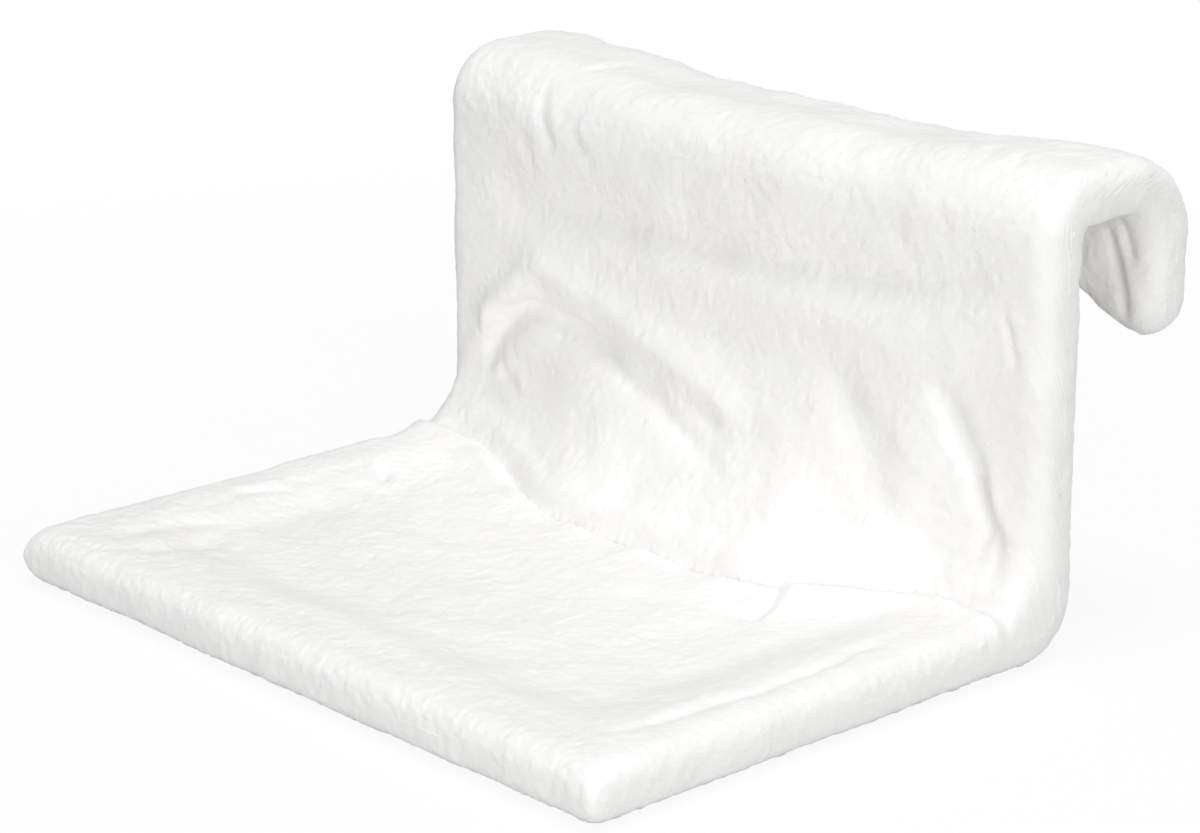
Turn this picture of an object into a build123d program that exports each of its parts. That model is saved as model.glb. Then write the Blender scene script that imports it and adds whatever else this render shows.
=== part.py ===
from build123d import *
import math
import os

os.makedirs("parts", exist_ok=True)

# Overall form, in millimetres. X runs along the width, the seat's front looks
# along -Y, the hook goes over the radiator towards +Y, and Z = 0 is the underside.
bed_width = 450.0
bed_height = 247.0
seat_depth = 326.0
hook_reach = 81.0
hook_drop = 98.0
edge_thickness = 30.0

# Steel tube frame
tube_diameter = 13.0
tube_wall = 1.2
bend_radius = 20.0
hook_bend_radius = 32.0
stub_length = 60.0
stub_clearance = 0.12
swage_length = 4.0
post_foot_height = 57.0
post_shoulder_gap = 0.6
stub_lead = 0.8
crossbar_setback = 46.0
crossbar_end_gap = 0.15
cap_height = 2.5
cap_stem_length = 14.0
cap_edge_radius = 1.2

# Screws, washers and threaded plugs of the crossbar
screw_diameter = 5.0
screw_hole_clearance = 0.25
screw_head_diameter = 9.0
screw_head_height = 2.2
screw_hex_across = 3.0
screw_hex_depth = 1.3
screw_engagement = 10.0
washer_width = 10.0
washer_thickness = 0.8
washer_clearance = 0.08
plug_length = 16.0
plug_clearance = 0.08
plug_thread_clearance = 0.08

# Snap buttons in the stubs
button_height = 86.0
button_diameter = 5.0
button_proud = 2.0
button_clearance = 0.15
button_flange_diameter = 6.0
button_flange_thickness = 0.8
button_flange_offset = 2.4
button_dome_radius = 0.9
button_pocket_clearance = 0.6
spring_strip = 0.4
spring_fold = 0.8
spring_width = 4.0
spring_leg = 22.0
spring_tail = 6.0
spring_touch = 0.05
spring_wall_gap = 0.1

# Plush cover: cloth with its pile, seams and the room left for the frame
cloth = 8.0
seam_cloth = 5.5
seam_gap = 0.4
straight_within = 0.015
channel_clearance = 0.3
channel_wall = 7.5
cavity_ramp = 10.0
edge_lip = 1.0
flat_cut = 0.5
front_corner_radius = 5.0
hook_corner_radius = 20.0
hook_foot_rise = 26.0
hook_foot_rise_run = 70.0
hook_foot_rise_start = 212.0
wadding_clearance = 0.3
wadding_slack = 0.9
wadding_back_slack = 3.0
wadding_side_gap = 2.0
wadding_front_inset = 30.0
wadding_top_inset = 14.0
lining_top_ramp = 8.0

# Form of the slack cloth
seat_dish = 8.0
seat_dish_run = 46.0
seam_side_setback = 50.0
seam_middle_setback = 90.0
seam_middle_dip = 2.0
seam_side_rise = 1.5
seam_ridge = 2.0
seam_flat_half = 60.0
bowl_middle_height = 126.0
bowl_side_height = 62.0
top_sag = 8.0
hook_face_hollow = 5.0
hook_inner_hollow = 4.0
hollow_depth = 5.0
hollow_height = 165.0
hollow_half_width = 17.0
hollow_fade = 34.0
arch_depth = 5.0
arch_half_width = 10.0
side_fold_depth = 6.0
side_fold_half_width = 9.0
side_bulge_depth = 5.0
side_bulge_half_width = 26.0

# Zip across the foot of the back
zip_height = 52.0
zip_groove = 14.0
zip_end_inset = 37.0
zip_tape_width = 12.0
zip_tape_thickness = 0.8
zip_tape_gap = 0.2
zip_tape_split = 2.4
tooth_pitch = 4.0
tooth_width = 1.5
tooth_reach = 3.4
tooth_thickness = 2.4
bead_width = 1.2
teeth_end_inset = 6.0
teeth_slider_inset = 16.0
slider_length = 9.0
slider_height = 8.5
slider_plate = 1.2
slider_clearance = 0.3
slider_flange = 1.1
slider_post_length = 2.6
slider_post_height = 1.6
slider_end_inset = 14.0
bridge_height = 3.2
bridge_width = 1.6
bridge_bar = 1.0
bridge_inset = 1.2
pull_length = 16.0
pull_width = 5.0
pull_thickness = 1.2
pull_eye_length = 4.4
pull_eye_rim = 0.9
pull_hole_diameter = 2.4
stop_length = 2.4
stop_wall = 0.7
stop_clearance = 0.15
wadding_zip_gap = 1.3

# Share of each station of the rounded side, counted outwards from the tube's line
edge_station_shares = (0.98, 0.9, 0.7, 0.4, 0.0)
# Share of the ramp beside the cavity at each of its stations, counted outwards
ramp_station_shares = (0.25, 0.5, 0.75, 1.0, 1.3)
# Share of the front roll's depth at each of its points
front_roll_shares = (0.0, 0.04, 0.2, 0.55, 1.0)
# Share of the way from the front roll to the crease at each point of the seat
seat_point_shares = (0.0, 0.06, 0.14, 0.24, 0.36, 0.5, 0.64, 0.76, 0.86, 0.94, 1.0)
# Share of the way from the crease to the top bend at each point of the back
back_point_shares = (0.0, 0.04, 0.08, 0.13, 0.18, 0.25, 0.32, 0.4, 0.48, 0.56, 0.64, 0.72, 0.8, 0.9, 1.0)
# Power of the superellipse that rounds the padded edges
edge_power_share = 2.4
# Power of the curve in which the slack back cloth runs down to the crease
bowl_power_share = 1.7
# Places on the back as shares of the half width and of the height
arch_left_share, arch_peak_share, arch_right_share = -0.91, -0.62, 0.09
arch_left_height_share, arch_peak_height_share, arch_right_height_share = 0.22, 0.455, 0.29
arch_left_power_share, arch_right_power_share = 1.6, 1.1
side_fold_top_share, side_fold_foot_share = 0.71, 0.885
side_fold_top_height_share, side_fold_foot_height_share = 0.53, 0.14
side_fold_power_share = 1.6
side_bulge_share, side_bulge_height_share = 0.62, 0.31
hollow_tilt_share, hollow_curve_share = 0.047, 0.079
# Shares of the levels between the upper and the lower end of the back's inner face
inner_level_shares = (1 / 6, 1 / 3, 1 / 2, 2 / 3, 5 / 6, 1.0)
inner_drop_shares = (0.3, 0.5, 0.66, 0.8, 0.9, 1.0)
inner_lean_share = 0.85
# Share of the top's sag at its points, from the front bend over to the rear one
top_sag_shares = (0.25, 0.5, 0.75, 1.0, 0.5)
# Shares of a piece's own size that round its corners
head_round_share, pull_round_share, pull_bar_share, bridge_round_share = 0.6, 0.4, 0.45, 0.8
pull_hole_share, rail_share = 0.6, 0.7
# Thickness of the spring's folded end as a share of its strip
fold_inside_share = 1.5
# Number of stations across the slack part of the cloth
stations_across = 23

# Positions that follow from the sizes above
half_width = bed_width / 2
half_edge = edge_thickness / 2
half_gap = seam_gap / 2
overall_depth = seat_depth + hook_reach
front_y = -overall_depth / 2
hook_outer_y = overall_depth / 2
hook_mid_y = hook_outer_y - half_edge
back_mid_y = hook_mid_y - hook_reach
back_rear_y = back_mid_y + half_edge
top_mid_z = bed_height - half_edge
hook_foot_z = bed_height - hook_drop
tube_x = half_width - half_edge
tube_radius = tube_diameter / 2
tube_bore = tube_radius - tube_wall
stub_radius = tube_bore - stub_clearance
stub_bore = stub_radius - tube_wall
stub_top_z = post_foot_height + stub_length
crossbar_y = back_mid_y - crossbar_setback
bar_front_y = front_y + half_edge
low_bend_y = back_mid_y - bend_radius
low_bend_z = half_edge + bend_radius
high_bend_y = back_mid_y + bend_radius
high_bend_z = top_mid_z - bend_radius
rear_bend_y = hook_mid_y - hook_bend_radius
rear_bend_z = top_mid_z - hook_bend_radius
cavity_start = tube_x - tube_radius - channel_wall
cavity_full = cavity_start - cavity_ramp
hook_end_z = hook_foot_z + cloth + channel_clearance + cap_height
lining_top_z = high_bend_z - lining_top_ramp
wadding_half = cavity_full - wadding_side_gap
wadding_top_z = high_bend_z - wadding_top_inset
seam_side_y = back_rear_y - seam_side_setback
seam_middle_y = back_rear_y - seam_middle_setback
zip_half = half_width - zip_end_inset


def clamp(value):
    return min(1.0, max(0.0, value))


def smooth(value):
    t = clamp(value)
    return t * t * (3 - 2 * t)


def mix(a, b, share):
    return a + (b - a) * share


def mix_point(a, b, share):
    return mix(a[0], b[0], share), mix(a[1], b[1], share)


def write(solid, name):
    export_step(solid, f"parts/{name}.step")
    print(name, "solids", len(solid.solids()), "volume", round(solid.volume))


# Sections of the cover, one at each station across the width
def edge_height(x):
    """Half thickness of the padded edge at a station, rounded off outside the tube's line."""
    outwards = clamp((abs(x) - tube_x) / half_edge)
    round_off = (1 - outwards**edge_power_share) ** (1 / edge_power_share)
    return max(edge_lip, half_edge * round_off)


def cavity_share(x):
    return smooth((cavity_start - abs(x)) / cavity_ramp)


def slack_share(x):
    """0 at the side tubes, 1 in the middle, where the cloth hangs slack."""
    return smooth((cavity_start - abs(x)) / (cavity_start - seam_flat_half))


def seam_y(x):
    return mix(seam_side_y, seam_middle_y, slack_share(x))


def seam_z(x):
    side = half_edge + edge_height(x) + seam_side_rise * edge_height(x) / half_edge
    middle = edge_thickness - seat_dish - seam_middle_dip
    return mix(side, middle, slack_share(x))


def corner_inset(x, radius):
    """How far a corner that is round in plan draws the edge back at a station."""
    into = clamp((abs(x) - (half_width - radius)) / radius)
    return radius * (1 - math.sqrt(max(0.0, 1 - into * into)))


def foot_height(x):
    """Lowest level of the hook: rounded corners round the tube ends, drawn up between them."""
    rise = hook_foot_rise * smooth((hook_foot_rise_start - abs(x)) / hook_foot_rise_run)
    return hook_foot_z + corner_inset(x, hook_corner_radius) + rise


def seat_surface(x, y):
    """Height of the seat's top: a raised rim over the tubes and a sunken middle."""
    start = front_y + corner_inset(x, front_corner_radius)
    inwards = clamp((y - start) / half_edge)
    front_roll = (1 - (1 - inwards) ** edge_power_share) ** (1 / edge_power_share)
    rim = half_edge + max(edge_lip, edge_height(x) * front_roll)
    from_side = smooth((cavity_start - abs(x)) / seat_dish_run)
    from_front = smooth((y - front_y - edge_thickness) / seat_dish_run)
    to_seam = (y - seam_y(x)) / half_edge
    ridge = seam_ridge * math.exp(-((to_seam + 1) ** 2) * 2) * from_side
    level = rim - seat_dish * from_side * from_front + ridge
    return mix(seam_z(x), level, smooth((seam_y(x) - y) / edge_thickness))


def arch_height(x):
    """Height of the arched fold that starts at the left post and runs down to the middle."""
    peak = arch_peak_share * half_width
    if x < peak:
        reach = clamp((peak - x) / (peak - arch_left_share * half_width))
        fall = (arch_peak_height_share - arch_left_height_share) * reach**arch_left_power_share
    else:
        reach = clamp((x - peak) / (arch_right_share * half_width - peak))
        fall = (arch_peak_height_share - arch_right_height_share) * reach**arch_right_power_share
    return bed_height * (arch_peak_height_share - fall)


def folds(x, z):
    """How far the folds of the back stand forward of its smooth form."""
    slack = smooth((cavity_start - abs(x)) / cavity_ramp)
    away = smooth((cavity_start - abs(x)) / hollow_fade)
    across = x / half_width
    hollow_z = hollow_height + bed_height * (hollow_tilt_share * across + hollow_curve_share * across**2)
    hollow = -hollow_depth * math.exp(-(((z - hollow_z) / hollow_half_width) ** 2))
    past_arch = smooth((arch_right_share * half_width + half_edge - x) / edge_thickness)
    above = (z - arch_height(x)) / arch_half_width - 1
    arch = arch_depth * past_arch * above * math.exp((1 - above**2) / 2)
    rise = clamp(
        (z / bed_height - side_fold_foot_height_share)
        / (side_fold_top_height_share - side_fold_foot_height_share)
    )
    fold_share = side_fold_foot_share - (side_fold_foot_share - side_fold_top_share) * rise**side_fold_power_share
    beside = (x - fold_share * half_width) / side_fold_half_width
    low = smooth((side_fold_top_height_share * bed_height + half_edge - z) / edge_thickness)
    side_fold = -side_fold_depth * low * math.exp(-(beside**2))
    bulge_x = (x - side_bulge_share * half_width) / side_bulge_half_width
    bulge_z = (z - side_bulge_height_share * bed_height) / (2 * side_bulge_half_width)
    bulge = side_bulge_depth * math.exp(-(bulge_x**2) - bulge_z**2)
    return away * hollow + slack * (arch + side_fold + bulge)


def back_surface(x, z):
    """Y of the back's front face: upright above, running forward to the crease below."""
    leave = mix(bowl_side_height, bowl_middle_height, slack_share(x))
    start = back_mid_y - edge_height(x)
    height = clamp((z - seam_z(x)) / (leave - seam_z(x)))
    bowl = (start - seam_y(x)) * (1 - height) ** bowl_power_share
    above_seam = smooth((z - seam_z(x)) / edge_thickness)
    below_top = smooth((high_bend_z - z) / edge_thickness)
    return start - bowl - folds(x, z) * above_seam * below_top


def arc_point(centre_y, centre_z, radius, degrees):
    turn = math.radians(degrees)
    return centre_y + radius * math.cos(turn), centre_z + radius * math.sin(turn)


def halfway(a, b):
    return mix_point(a, b, 0.5)


def section(x, points):
    """Closed outline at a station from an odd list of points, in threes, closed by a line."""
    edges = []
    for first in range(0, len(points) - 2, 2):
        a, m, b = (Vector(x, *points[first + i]) for i in range(3))
        chord = b - a
        bow = (m - a).cross(chord).length / chord.length
        if bow < straight_within:
            edges.append(Edge.make_line(a, b))
        else:
            edges.append(Edge.make_three_point_arc(a, m, b))
    if (b - Vector(x, *points[0])).length > straight_within:
        edges.append(Edge.make_line(b, Vector(x, *points[0])))
    return Wire(edges)


def stations(reach):
    """Places across the width: even inside the slack cloth, close together on the rounded sides."""
    inner = [cavity_full * (2 * i / (stations_across - 1) - 1) for i in range(stations_across)]
    if reach < cavity_full:
        return [-reach] + inner[1:-1] + [reach]
    outer = [cavity_full + cavity_ramp * s for s in ramp_station_shares]
    outer += [tube_x + half_edge * s for s in reversed(edge_station_shares)]
    return [-x for x in reversed(outer)] + inner + outer


def lofted(outline, reach):
    return Solid.make_loft([section(x, outline(x)) for x in stations(reach)])


def seat_top_outline(x):
    start = front_y + corner_inset(x, front_corner_radius)
    end = seam_y(x) - half_gap
    ys = [start + half_edge * s for s in front_roll_shares]
    ys += [mix(start + half_edge, end, s) for s in seat_point_shares[1:]]
    upper = [(y, seat_surface(x, y)) for y in ys]
    mid_z = half_edge + half_gap
    inner = [upper[-1]]
    for y in (end, (end + front_y) / 2, front_y + wadding_front_inset):
        inner.append((y, mix(mid_z, max(mid_z, seat_surface(x, y) - cloth), cavity_share(x))))
    ramp_y = front_y + wadding_front_inset
    inner.append((ramp_y - cavity_ramp / 2, mix(mid_z, inner[-1][1], 0.5)))
    inner.append((ramp_y - cavity_ramp, mid_z))
    inner.append((mix(ramp_y - cavity_ramp, start, 0.5), mid_z))
    inner.append((start, mid_z))
    closing = [halfway(inner[0], inner[1])] + inner[1:]
    return upper + closing


def seat_under_outline(x):
    start = front_y + corner_inset(x, front_corner_radius)
    edge = edge_height(x)
    low_edge = edge + flat_cut * edge / half_edge
    mid_z = half_edge - half_gap
    roll = []
    for s in front_roll_shares:
        share = (1 - (1 - s) ** edge_power_share) ** (1 / edge_power_share)
        roll.append((start + half_edge * s, half_edge - max(edge_lip, low_edge * share)))
    low_z = half_edge - low_edge
    end_z = zip_height - half_gap
    under = roll + [((start + low_bend_y) / 2, low_z), (low_bend_y, low_z)]
    under.append(arc_point(low_bend_y, low_bend_z, low_bend_z - low_z, -45))
    under.append((back_mid_y + edge, low_bend_z))
    under.append((back_mid_y + edge, (low_bend_z + end_z) / 2))
    under.append((back_mid_y + edge, end_z))
    share = cavity_share(x)
    inner_y = mix(back_mid_y + half_gap, back_rear_y - cloth, share)
    inner_z = mix(mid_z, cloth, share)
    inner_radius = mix(bend_radius + half_gap, bend_radius + half_edge - cloth, share)
    inner = [((back_mid_y + edge + inner_y) / 2, end_z), (inner_y, end_z)]
    inner += [(inner_y, (low_bend_z + end_z) / 2), (inner_y, low_bend_z)]
    inner += [arc_point(low_bend_y, low_bend_z, inner_radius, -45), (low_bend_y, inner_z)]
    ramp_y = front_y + wadding_front_inset
    inner += [((low_bend_y + ramp_y) / 2, inner_z), (ramp_y, inner_z)]
    inner += [(ramp_y - cavity_ramp / 2, mix(mid_z, inner_z, 0.5)), (ramp_y - cavity_ramp, mid_z)]
    inner += [(mix(ramp_y - cavity_ramp, start, 0.5), mid_z), (start, mid_z)]
    return under + inner


def face_points(x):
    """Points of the back's front face from the crease to the top bend, at a station."""
    bottom = seam_z(x)
    heights = [mix(bottom, high_bend_z, s) for s in back_point_shares]
    return [(seam_y(x) + half_gap, bottom)] + [(back_surface(x, z), z) for z in heights[1:]]


def middle_points(start_y):
    """The line halfway through the edge, from the crease round the low bend and up the post."""
    level, upright = half_edge + half_gap, back_mid_y - half_gap
    points = [(start_y, level), (mix(start_y, low_bend_y, 0.5), level), (low_bend_y, level)]
    points.append(arc_point(low_bend_y, low_bend_z, bend_radius - half_gap, -45))
    low_share = back_point_shares[len(points)]
    for s in back_point_shares[len(points):]:
        points.append((upright, mix(low_bend_z, high_bend_z, (s - low_share) / (1 - low_share))))
    return points


def lining_points(x, top_z, slack):
    """Points of the slack lining behind the back's front face, from its top down to the crease."""
    mid_y = back_mid_y - half_gap
    lowest = seam_z(x) - seam_cloth
    levels = [top_z] + [mix(lining_top_z, low_bend_z + bend_radius, s) for s in inner_level_shares]
    points = [(min(mid_y, back_surface(x, z) + cloth) + slack, z) for z in levels]
    for s in inner_drop_shares:
        z = mix(levels[-1], lowest, s)
        outer_z = max(seam_z(x), z + cloth / 2)
        points.append((back_surface(x, outer_z) + cloth * inner_lean_share + slack, z - slack * s / 2))
    points[-1] = (seam_y(x) + half_gap + slack, points[-1][1])
    return points


def back_front_outline(x):
    edge = edge_height(x)
    foot_z = foot_height(x)
    if abs(x) > tube_x:
        side = math.copysign(tube_x, x)
        middle = middle_points(seam_y(side) + half_gap)
        outer = [mix_point(m, f, edge / half_edge) for m, f in zip(middle, face_points(side))]
    else:
        outer = face_points(x)
    sag = top_sag * slack_share(x) * edge / half_edge
    hollow = hook_face_hollow * slack_share(x)
    sags = [sag * s for s in top_sag_shares]
    outer.append(arc_point(high_bend_y, high_bend_z - sags[0], bend_radius + edge, 135))
    outer.append((high_bend_y, top_mid_z + edge - sags[1]))
    outer.append(((high_bend_y + rear_bend_y) / 2, top_mid_z + edge - sags[2]))
    outer.append((rear_bend_y, top_mid_z + edge - sags[3]))
    outer.append(arc_point(rear_bend_y, rear_bend_z - sags[4], hook_bend_radius + edge, 45))
    outer.append((hook_mid_y + edge - hollow / 2, rear_bend_z))
    outer.append((hook_mid_y + edge - hollow, (rear_bend_z + foot_z + edge) / 2))
    outer.append((hook_mid_y + edge, foot_z + edge))
    outer.append(arc_point(hook_mid_y + half_gap, foot_z + edge, edge - half_gap, -45))
    outer.append((hook_mid_y + half_gap, foot_z + half_gap))
    inner = [(hook_mid_y + half_gap, (foot_z + rear_bend_z) / 2), (hook_mid_y + half_gap, rear_bend_z)]
    inner.append(arc_point(rear_bend_y, rear_bend_z, hook_bend_radius + half_gap, 45))
    inner.append((rear_bend_y, top_mid_z + half_gap))
    inner.append(((rear_bend_y + high_bend_y) / 2, top_mid_z + half_gap))
    inner.append((high_bend_y, top_mid_z + half_gap))
    inner.append(arc_point(high_bend_y, high_bend_z, bend_radius + half_gap, 135))
    inner.append((back_mid_y - half_gap, high_bend_z))
    mid_y = back_mid_y - half_gap
    lining = lining_points(x, lining_top_z, 0)
    level_count = len(lining) - len(inner_drop_shares)
    side = [(mid_y, z) for _, z in lining[:level_count]]
    side += [(mid_y, mix(side[-1][1], low_bend_z, 0.5)), (mid_y, low_bend_z)]
    side.append(arc_point(low_bend_y, low_bend_z, bend_radius - half_gap, -45))
    side.append((low_bend_y, half_edge + half_gap))
    side.append(((low_bend_y + seam_y(x) + half_gap) / 2, half_edge + half_gap))
    side.append((seam_y(x) + half_gap, half_edge + half_gap))
    lining = [mix_point(a, b, cavity_share(x)) for a, b in zip(side, lining)]
    inner += [halfway(inner[-1], lining[0])] + lining
    inner.append(halfway(inner[-1], outer[0]))
    return outer + inner + [outer[0]]


def back_rear_outline(x):
    edge = edge_height(x)
    foot_z = foot_height(x)
    hollow = hook_inner_hollow * slack_share(x)
    start_z = zip_height + half_gap
    rear_y = back_mid_y + edge
    outer = [(rear_y, start_z), (rear_y, (start_z + high_bend_z) / 2), (rear_y, high_bend_z)]
    cut = flat_cut * edge / half_edge
    rest_z = top_mid_z - edge - cut
    outer.append(arc_point(high_bend_y, high_bend_z, bend_radius - edge - cut / 2, 135))
    outer.append((high_bend_y, rest_z))
    outer.append(((high_bend_y + rear_bend_y) / 2, rest_z))
    outer.append((rear_bend_y, rest_z))
    outer.append(arc_point(rear_bend_y, rear_bend_z, hook_bend_radius - edge - cut / 2, 45))
    outer.append((hook_mid_y - edge, rear_bend_z))
    outer.append((hook_mid_y - edge + hollow, (rear_bend_z + foot_z + edge) / 2))
    outer.append((hook_mid_y - edge, foot_z + edge))
    outer.append(arc_point(hook_mid_y - half_gap, foot_z + edge, edge - half_gap, 225))
    outer.append((hook_mid_y - half_gap, foot_z + half_gap))
    inner = [(hook_mid_y - half_gap, (foot_z + rear_bend_z) / 2), (hook_mid_y - half_gap, rear_bend_z)]
    inner.append(arc_point(rear_bend_y, rear_bend_z, hook_bend_radius - half_gap, 45))
    inner.append((rear_bend_y, top_mid_z - half_gap))
    inner.append(((rear_bend_y + high_bend_y) / 2, top_mid_z - half_gap))
    inner.append((high_bend_y, top_mid_z - half_gap))
    inner.append(arc_point(high_bend_y, high_bend_z, bend_radius - half_gap, 135))
    inner.append((back_mid_y + half_gap, high_bend_z))
    share = cavity_share(x)
    mid_y = back_mid_y + half_gap
    inner_y = mix(mid_y, back_rear_y - cloth, share)
    inner += [(mix(mid_y, inner_y, 0.5), (high_bend_z + lining_top_z) / 2), (inner_y, lining_top_z)]
    inner += [(inner_y, (lining_top_z + start_z) / 2), (inner_y, start_z)]
    return outer + inner


def seat_wadding_outline(x):
    start = front_y + wadding_front_inset
    end = min(seam_y(x) - half_gap, crossbar_y - tube_radius) - wadding_slack
    bottom = cloth + wadding_clearance
    ys = [mix(start, end, s) for s in seat_point_shares]
    upper = [(y, seat_surface(x, y) - cloth - wadding_slack) for y in ys]
    rest = [(end, mix(upper[-1][1], bottom, 0.5)), (end, bottom)]
    rest += [((start + end) / 2, bottom), (start, bottom)]
    return upper + rest


def back_wadding_outline(x):
    rear_y = back_rear_y - cloth - wadding_zip_gap
    bottom = cloth + wadding_clearance
    start_y = seam_y(x) + half_gap + wadding_back_slack
    radius = bend_radius + half_edge - cloth - wadding_zip_gap
    centre_z = bottom + radius
    rear = [(start_y, bottom), ((start_y + rear_y - radius) / 2, bottom), (rear_y - radius, bottom)]
    rear.append(arc_point(rear_y - radius, centre_z, radius, -45))
    rear += [(rear_y, centre_z), (rear_y, (centre_z + wadding_top_z) / 2), (rear_y, wadding_top_z)]
    front = lining_points(x, wadding_top_z, wadding_back_slack)
    return rear + [halfway(rear[-1], front[0])] + front


# Frame paths
def rod_along(points, radii, radius, bore=None):
    path = FilletPolyline(*points, radius=radii)
    start, ahead = points[0], points[1]
    plane = Plane(origin=start, z_dir=Vector(*ahead) - Vector(*start))
    profile = Circle(radius) if bore is None else Circle(radius) - Circle(bore)
    return sweep(plane * profile, path=path)


def pin(centre, axis, radius, length):
    """A cylinder that starts at a point and runs along an axis."""
    plane = Plane(origin=centre, z_dir=axis)
    return extrude(plane * Circle(radius), length)


def hook_points(side, start_z, end_z):
    """Up a post, over the radiator and down to the foot of the hook, on one side."""
    x = side * tube_x
    post = [(x, back_mid_y, start_z), (x, back_mid_y, top_mid_z)]
    return post + [(x, hook_mid_y, top_mid_z), (x, hook_mid_y, end_z)]


hook_radii = [bend_radius, hook_bend_radius]
swage_foot_z = post_foot_height - post_shoulder_gap - swage_length
seat_points = [
    (-tube_x, back_mid_y, swage_foot_z),
    (-tube_x, back_mid_y, half_edge),
    (-tube_x, bar_front_y, half_edge),
    (tube_x, bar_front_y, half_edge),
    (tube_x, back_mid_y, half_edge),
    (tube_x, back_mid_y, swage_foot_z),
]
seat_radii = [bend_radius] * 4


def stub(side):
    """Swaged end of the seat tube: a neck and a thinner spigot that slides up into the post."""
    neck_z = swage_foot_z + swage_length
    outline = [
        (tube_bore, swage_foot_z),
        (tube_radius, swage_foot_z),
        (stub_radius, neck_z),
        (stub_radius, stub_top_z - stub_lead),
        (stub_radius - stub_lead / 2, stub_top_z),
        (stub_bore, stub_top_z),
        (stub_bore, neck_z),
    ]
    profile = Plane.XZ * make_face(Polyline(*outline, close=True))
    turned = revolve(profile, axis=Axis.Z)
    return Pos(side * tube_x, back_mid_y, 0) * turned


def button_axis_plane(side):
    """Point on the post's axis at the button, and the direction the button stands out."""
    return (side * tube_x, back_mid_y, button_height), (-side, 0, 0)


def button_hole(side, radius):
    centre, outwards = button_axis_plane(side)
    return pin(centre, outwards, radius, tube_diameter)


def screw_hole(side, radius):
    centre = (side * (tube_x - tube_diameter), crossbar_y, half_edge)
    return pin(centre, (side, 0, 0), radius, 2 * tube_diameter)


def tube_cap(side):
    """Domed plug that closes a tube's free end at the foot of the hook."""
    end = (side * tube_x, hook_mid_y, hook_end_z)
    head = pin(end, (0, 0, -1), tube_radius, cap_height)
    head = fillet(head.faces().sort_by(Axis.Z)[0].edges(), cap_edge_radius)
    return head + pin(end, (0, 0, 1), tube_bore - plug_clearance, cap_stem_length)


seat_tube = rod_along(seat_points, seat_radii, tube_radius, tube_bore)
hook_tubes, caps = [], []
for side in (-1, 1):
    button_bore = button_diameter / 2 + button_clearance
    path = hook_points(side, post_foot_height, hook_end_z)
    tube = rod_along(path, hook_radii, tube_radius, tube_bore)
    hook_tubes.append(tube - button_hole(side, button_bore))
    caps.append(tube_cap(side))
    seat_tube += stub(side)
    seat_tube -= button_hole(side, button_bore)
    seat_tube -= screw_hole(side, screw_diameter / 2 + screw_hole_clearance)
write(Compound(children=hook_tubes), "hook_tube")
write(Compound(children=caps), "hook_tube_caps")
write(seat_tube, "seat_tube")


# Crossbar between the seat's side tubes, with its plugs, washers and screws
def side_rod(side, radius):
    start = (side * tube_x, crossbar_y - tube_diameter * 2, half_edge)
    return pin(start, (0, 1, 0), radius, tube_diameter * 4)


bar_start = (-tube_x, crossbar_y, half_edge)
crossbar = pin(bar_start, (1, 0, 0), tube_radius, 2 * tube_x)
crossbar -= pin(bar_start, (1, 0, 0), tube_bore, 2 * tube_x)
plugs, washers, screws = [], [], []
head_x = tube_x + tube_radius + washer_clearance + washer_thickness
for side in (-1, 1):
    crossbar -= side_rod(side, tube_radius + crossbar_end_gap)
    plug_end_x = side * (tube_x - tube_radius - plug_length)
    plug_end = (plug_end_x, crossbar_y, half_edge)
    plug = pin(plug_end, (side, 0, 0), tube_bore - plug_clearance, plug_length + tube_radius)
    plug -= pin(plug_end, (side, 0, 0), screw_diameter / 2 + plug_thread_clearance, plug_length + tube_diameter)
    plugs.append(plug - side_rod(side, tube_radius + crossbar_end_gap))
    saddle = side_rod(side, tube_radius + washer_clearance + washer_thickness)
    saddle -= side_rod(side, tube_radius + washer_clearance)
    blank = pin((side * tube_x, crossbar_y, half_edge), (side, 0, 0), washer_width / 2, tube_diameter)
    saddle &= blank
    washers.append(saddle - screw_hole(side, screw_diameter / 2 + screw_hole_clearance))
    head = pin((side * head_x, crossbar_y, half_edge), (side, 0, 0), screw_head_diameter / 2, screw_head_height)
    outer_face = head.faces().sort_by(Axis.X)[-1 if side > 0 else 0]
    head = fillet(outer_face.edges(), screw_head_height * head_round_share)
    head_end = (side * (head_x + screw_head_height), crossbar_y, half_edge)
    hex_profile = RegularPolygon(screw_hex_across / 2, 6, major_radius=False)
    head -= extrude(Plane(origin=head_end, z_dir=(-side, 0, 0)) * hex_profile, screw_hex_depth)
    shank_length = head_x - (tube_x - tube_radius - screw_engagement)
    shank = pin((side * head_x, crossbar_y, half_edge), (-side, 0, 0), screw_diameter / 2, shank_length)
    screws.append(head + shank)
write(crossbar, "seat_crossbar")
write(Compound(children=plugs), "crossbar_plugs")
write(Compound(children=washers), "saddle_washers")
write(Compound(children=screws), "crossbar_screws")


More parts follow.
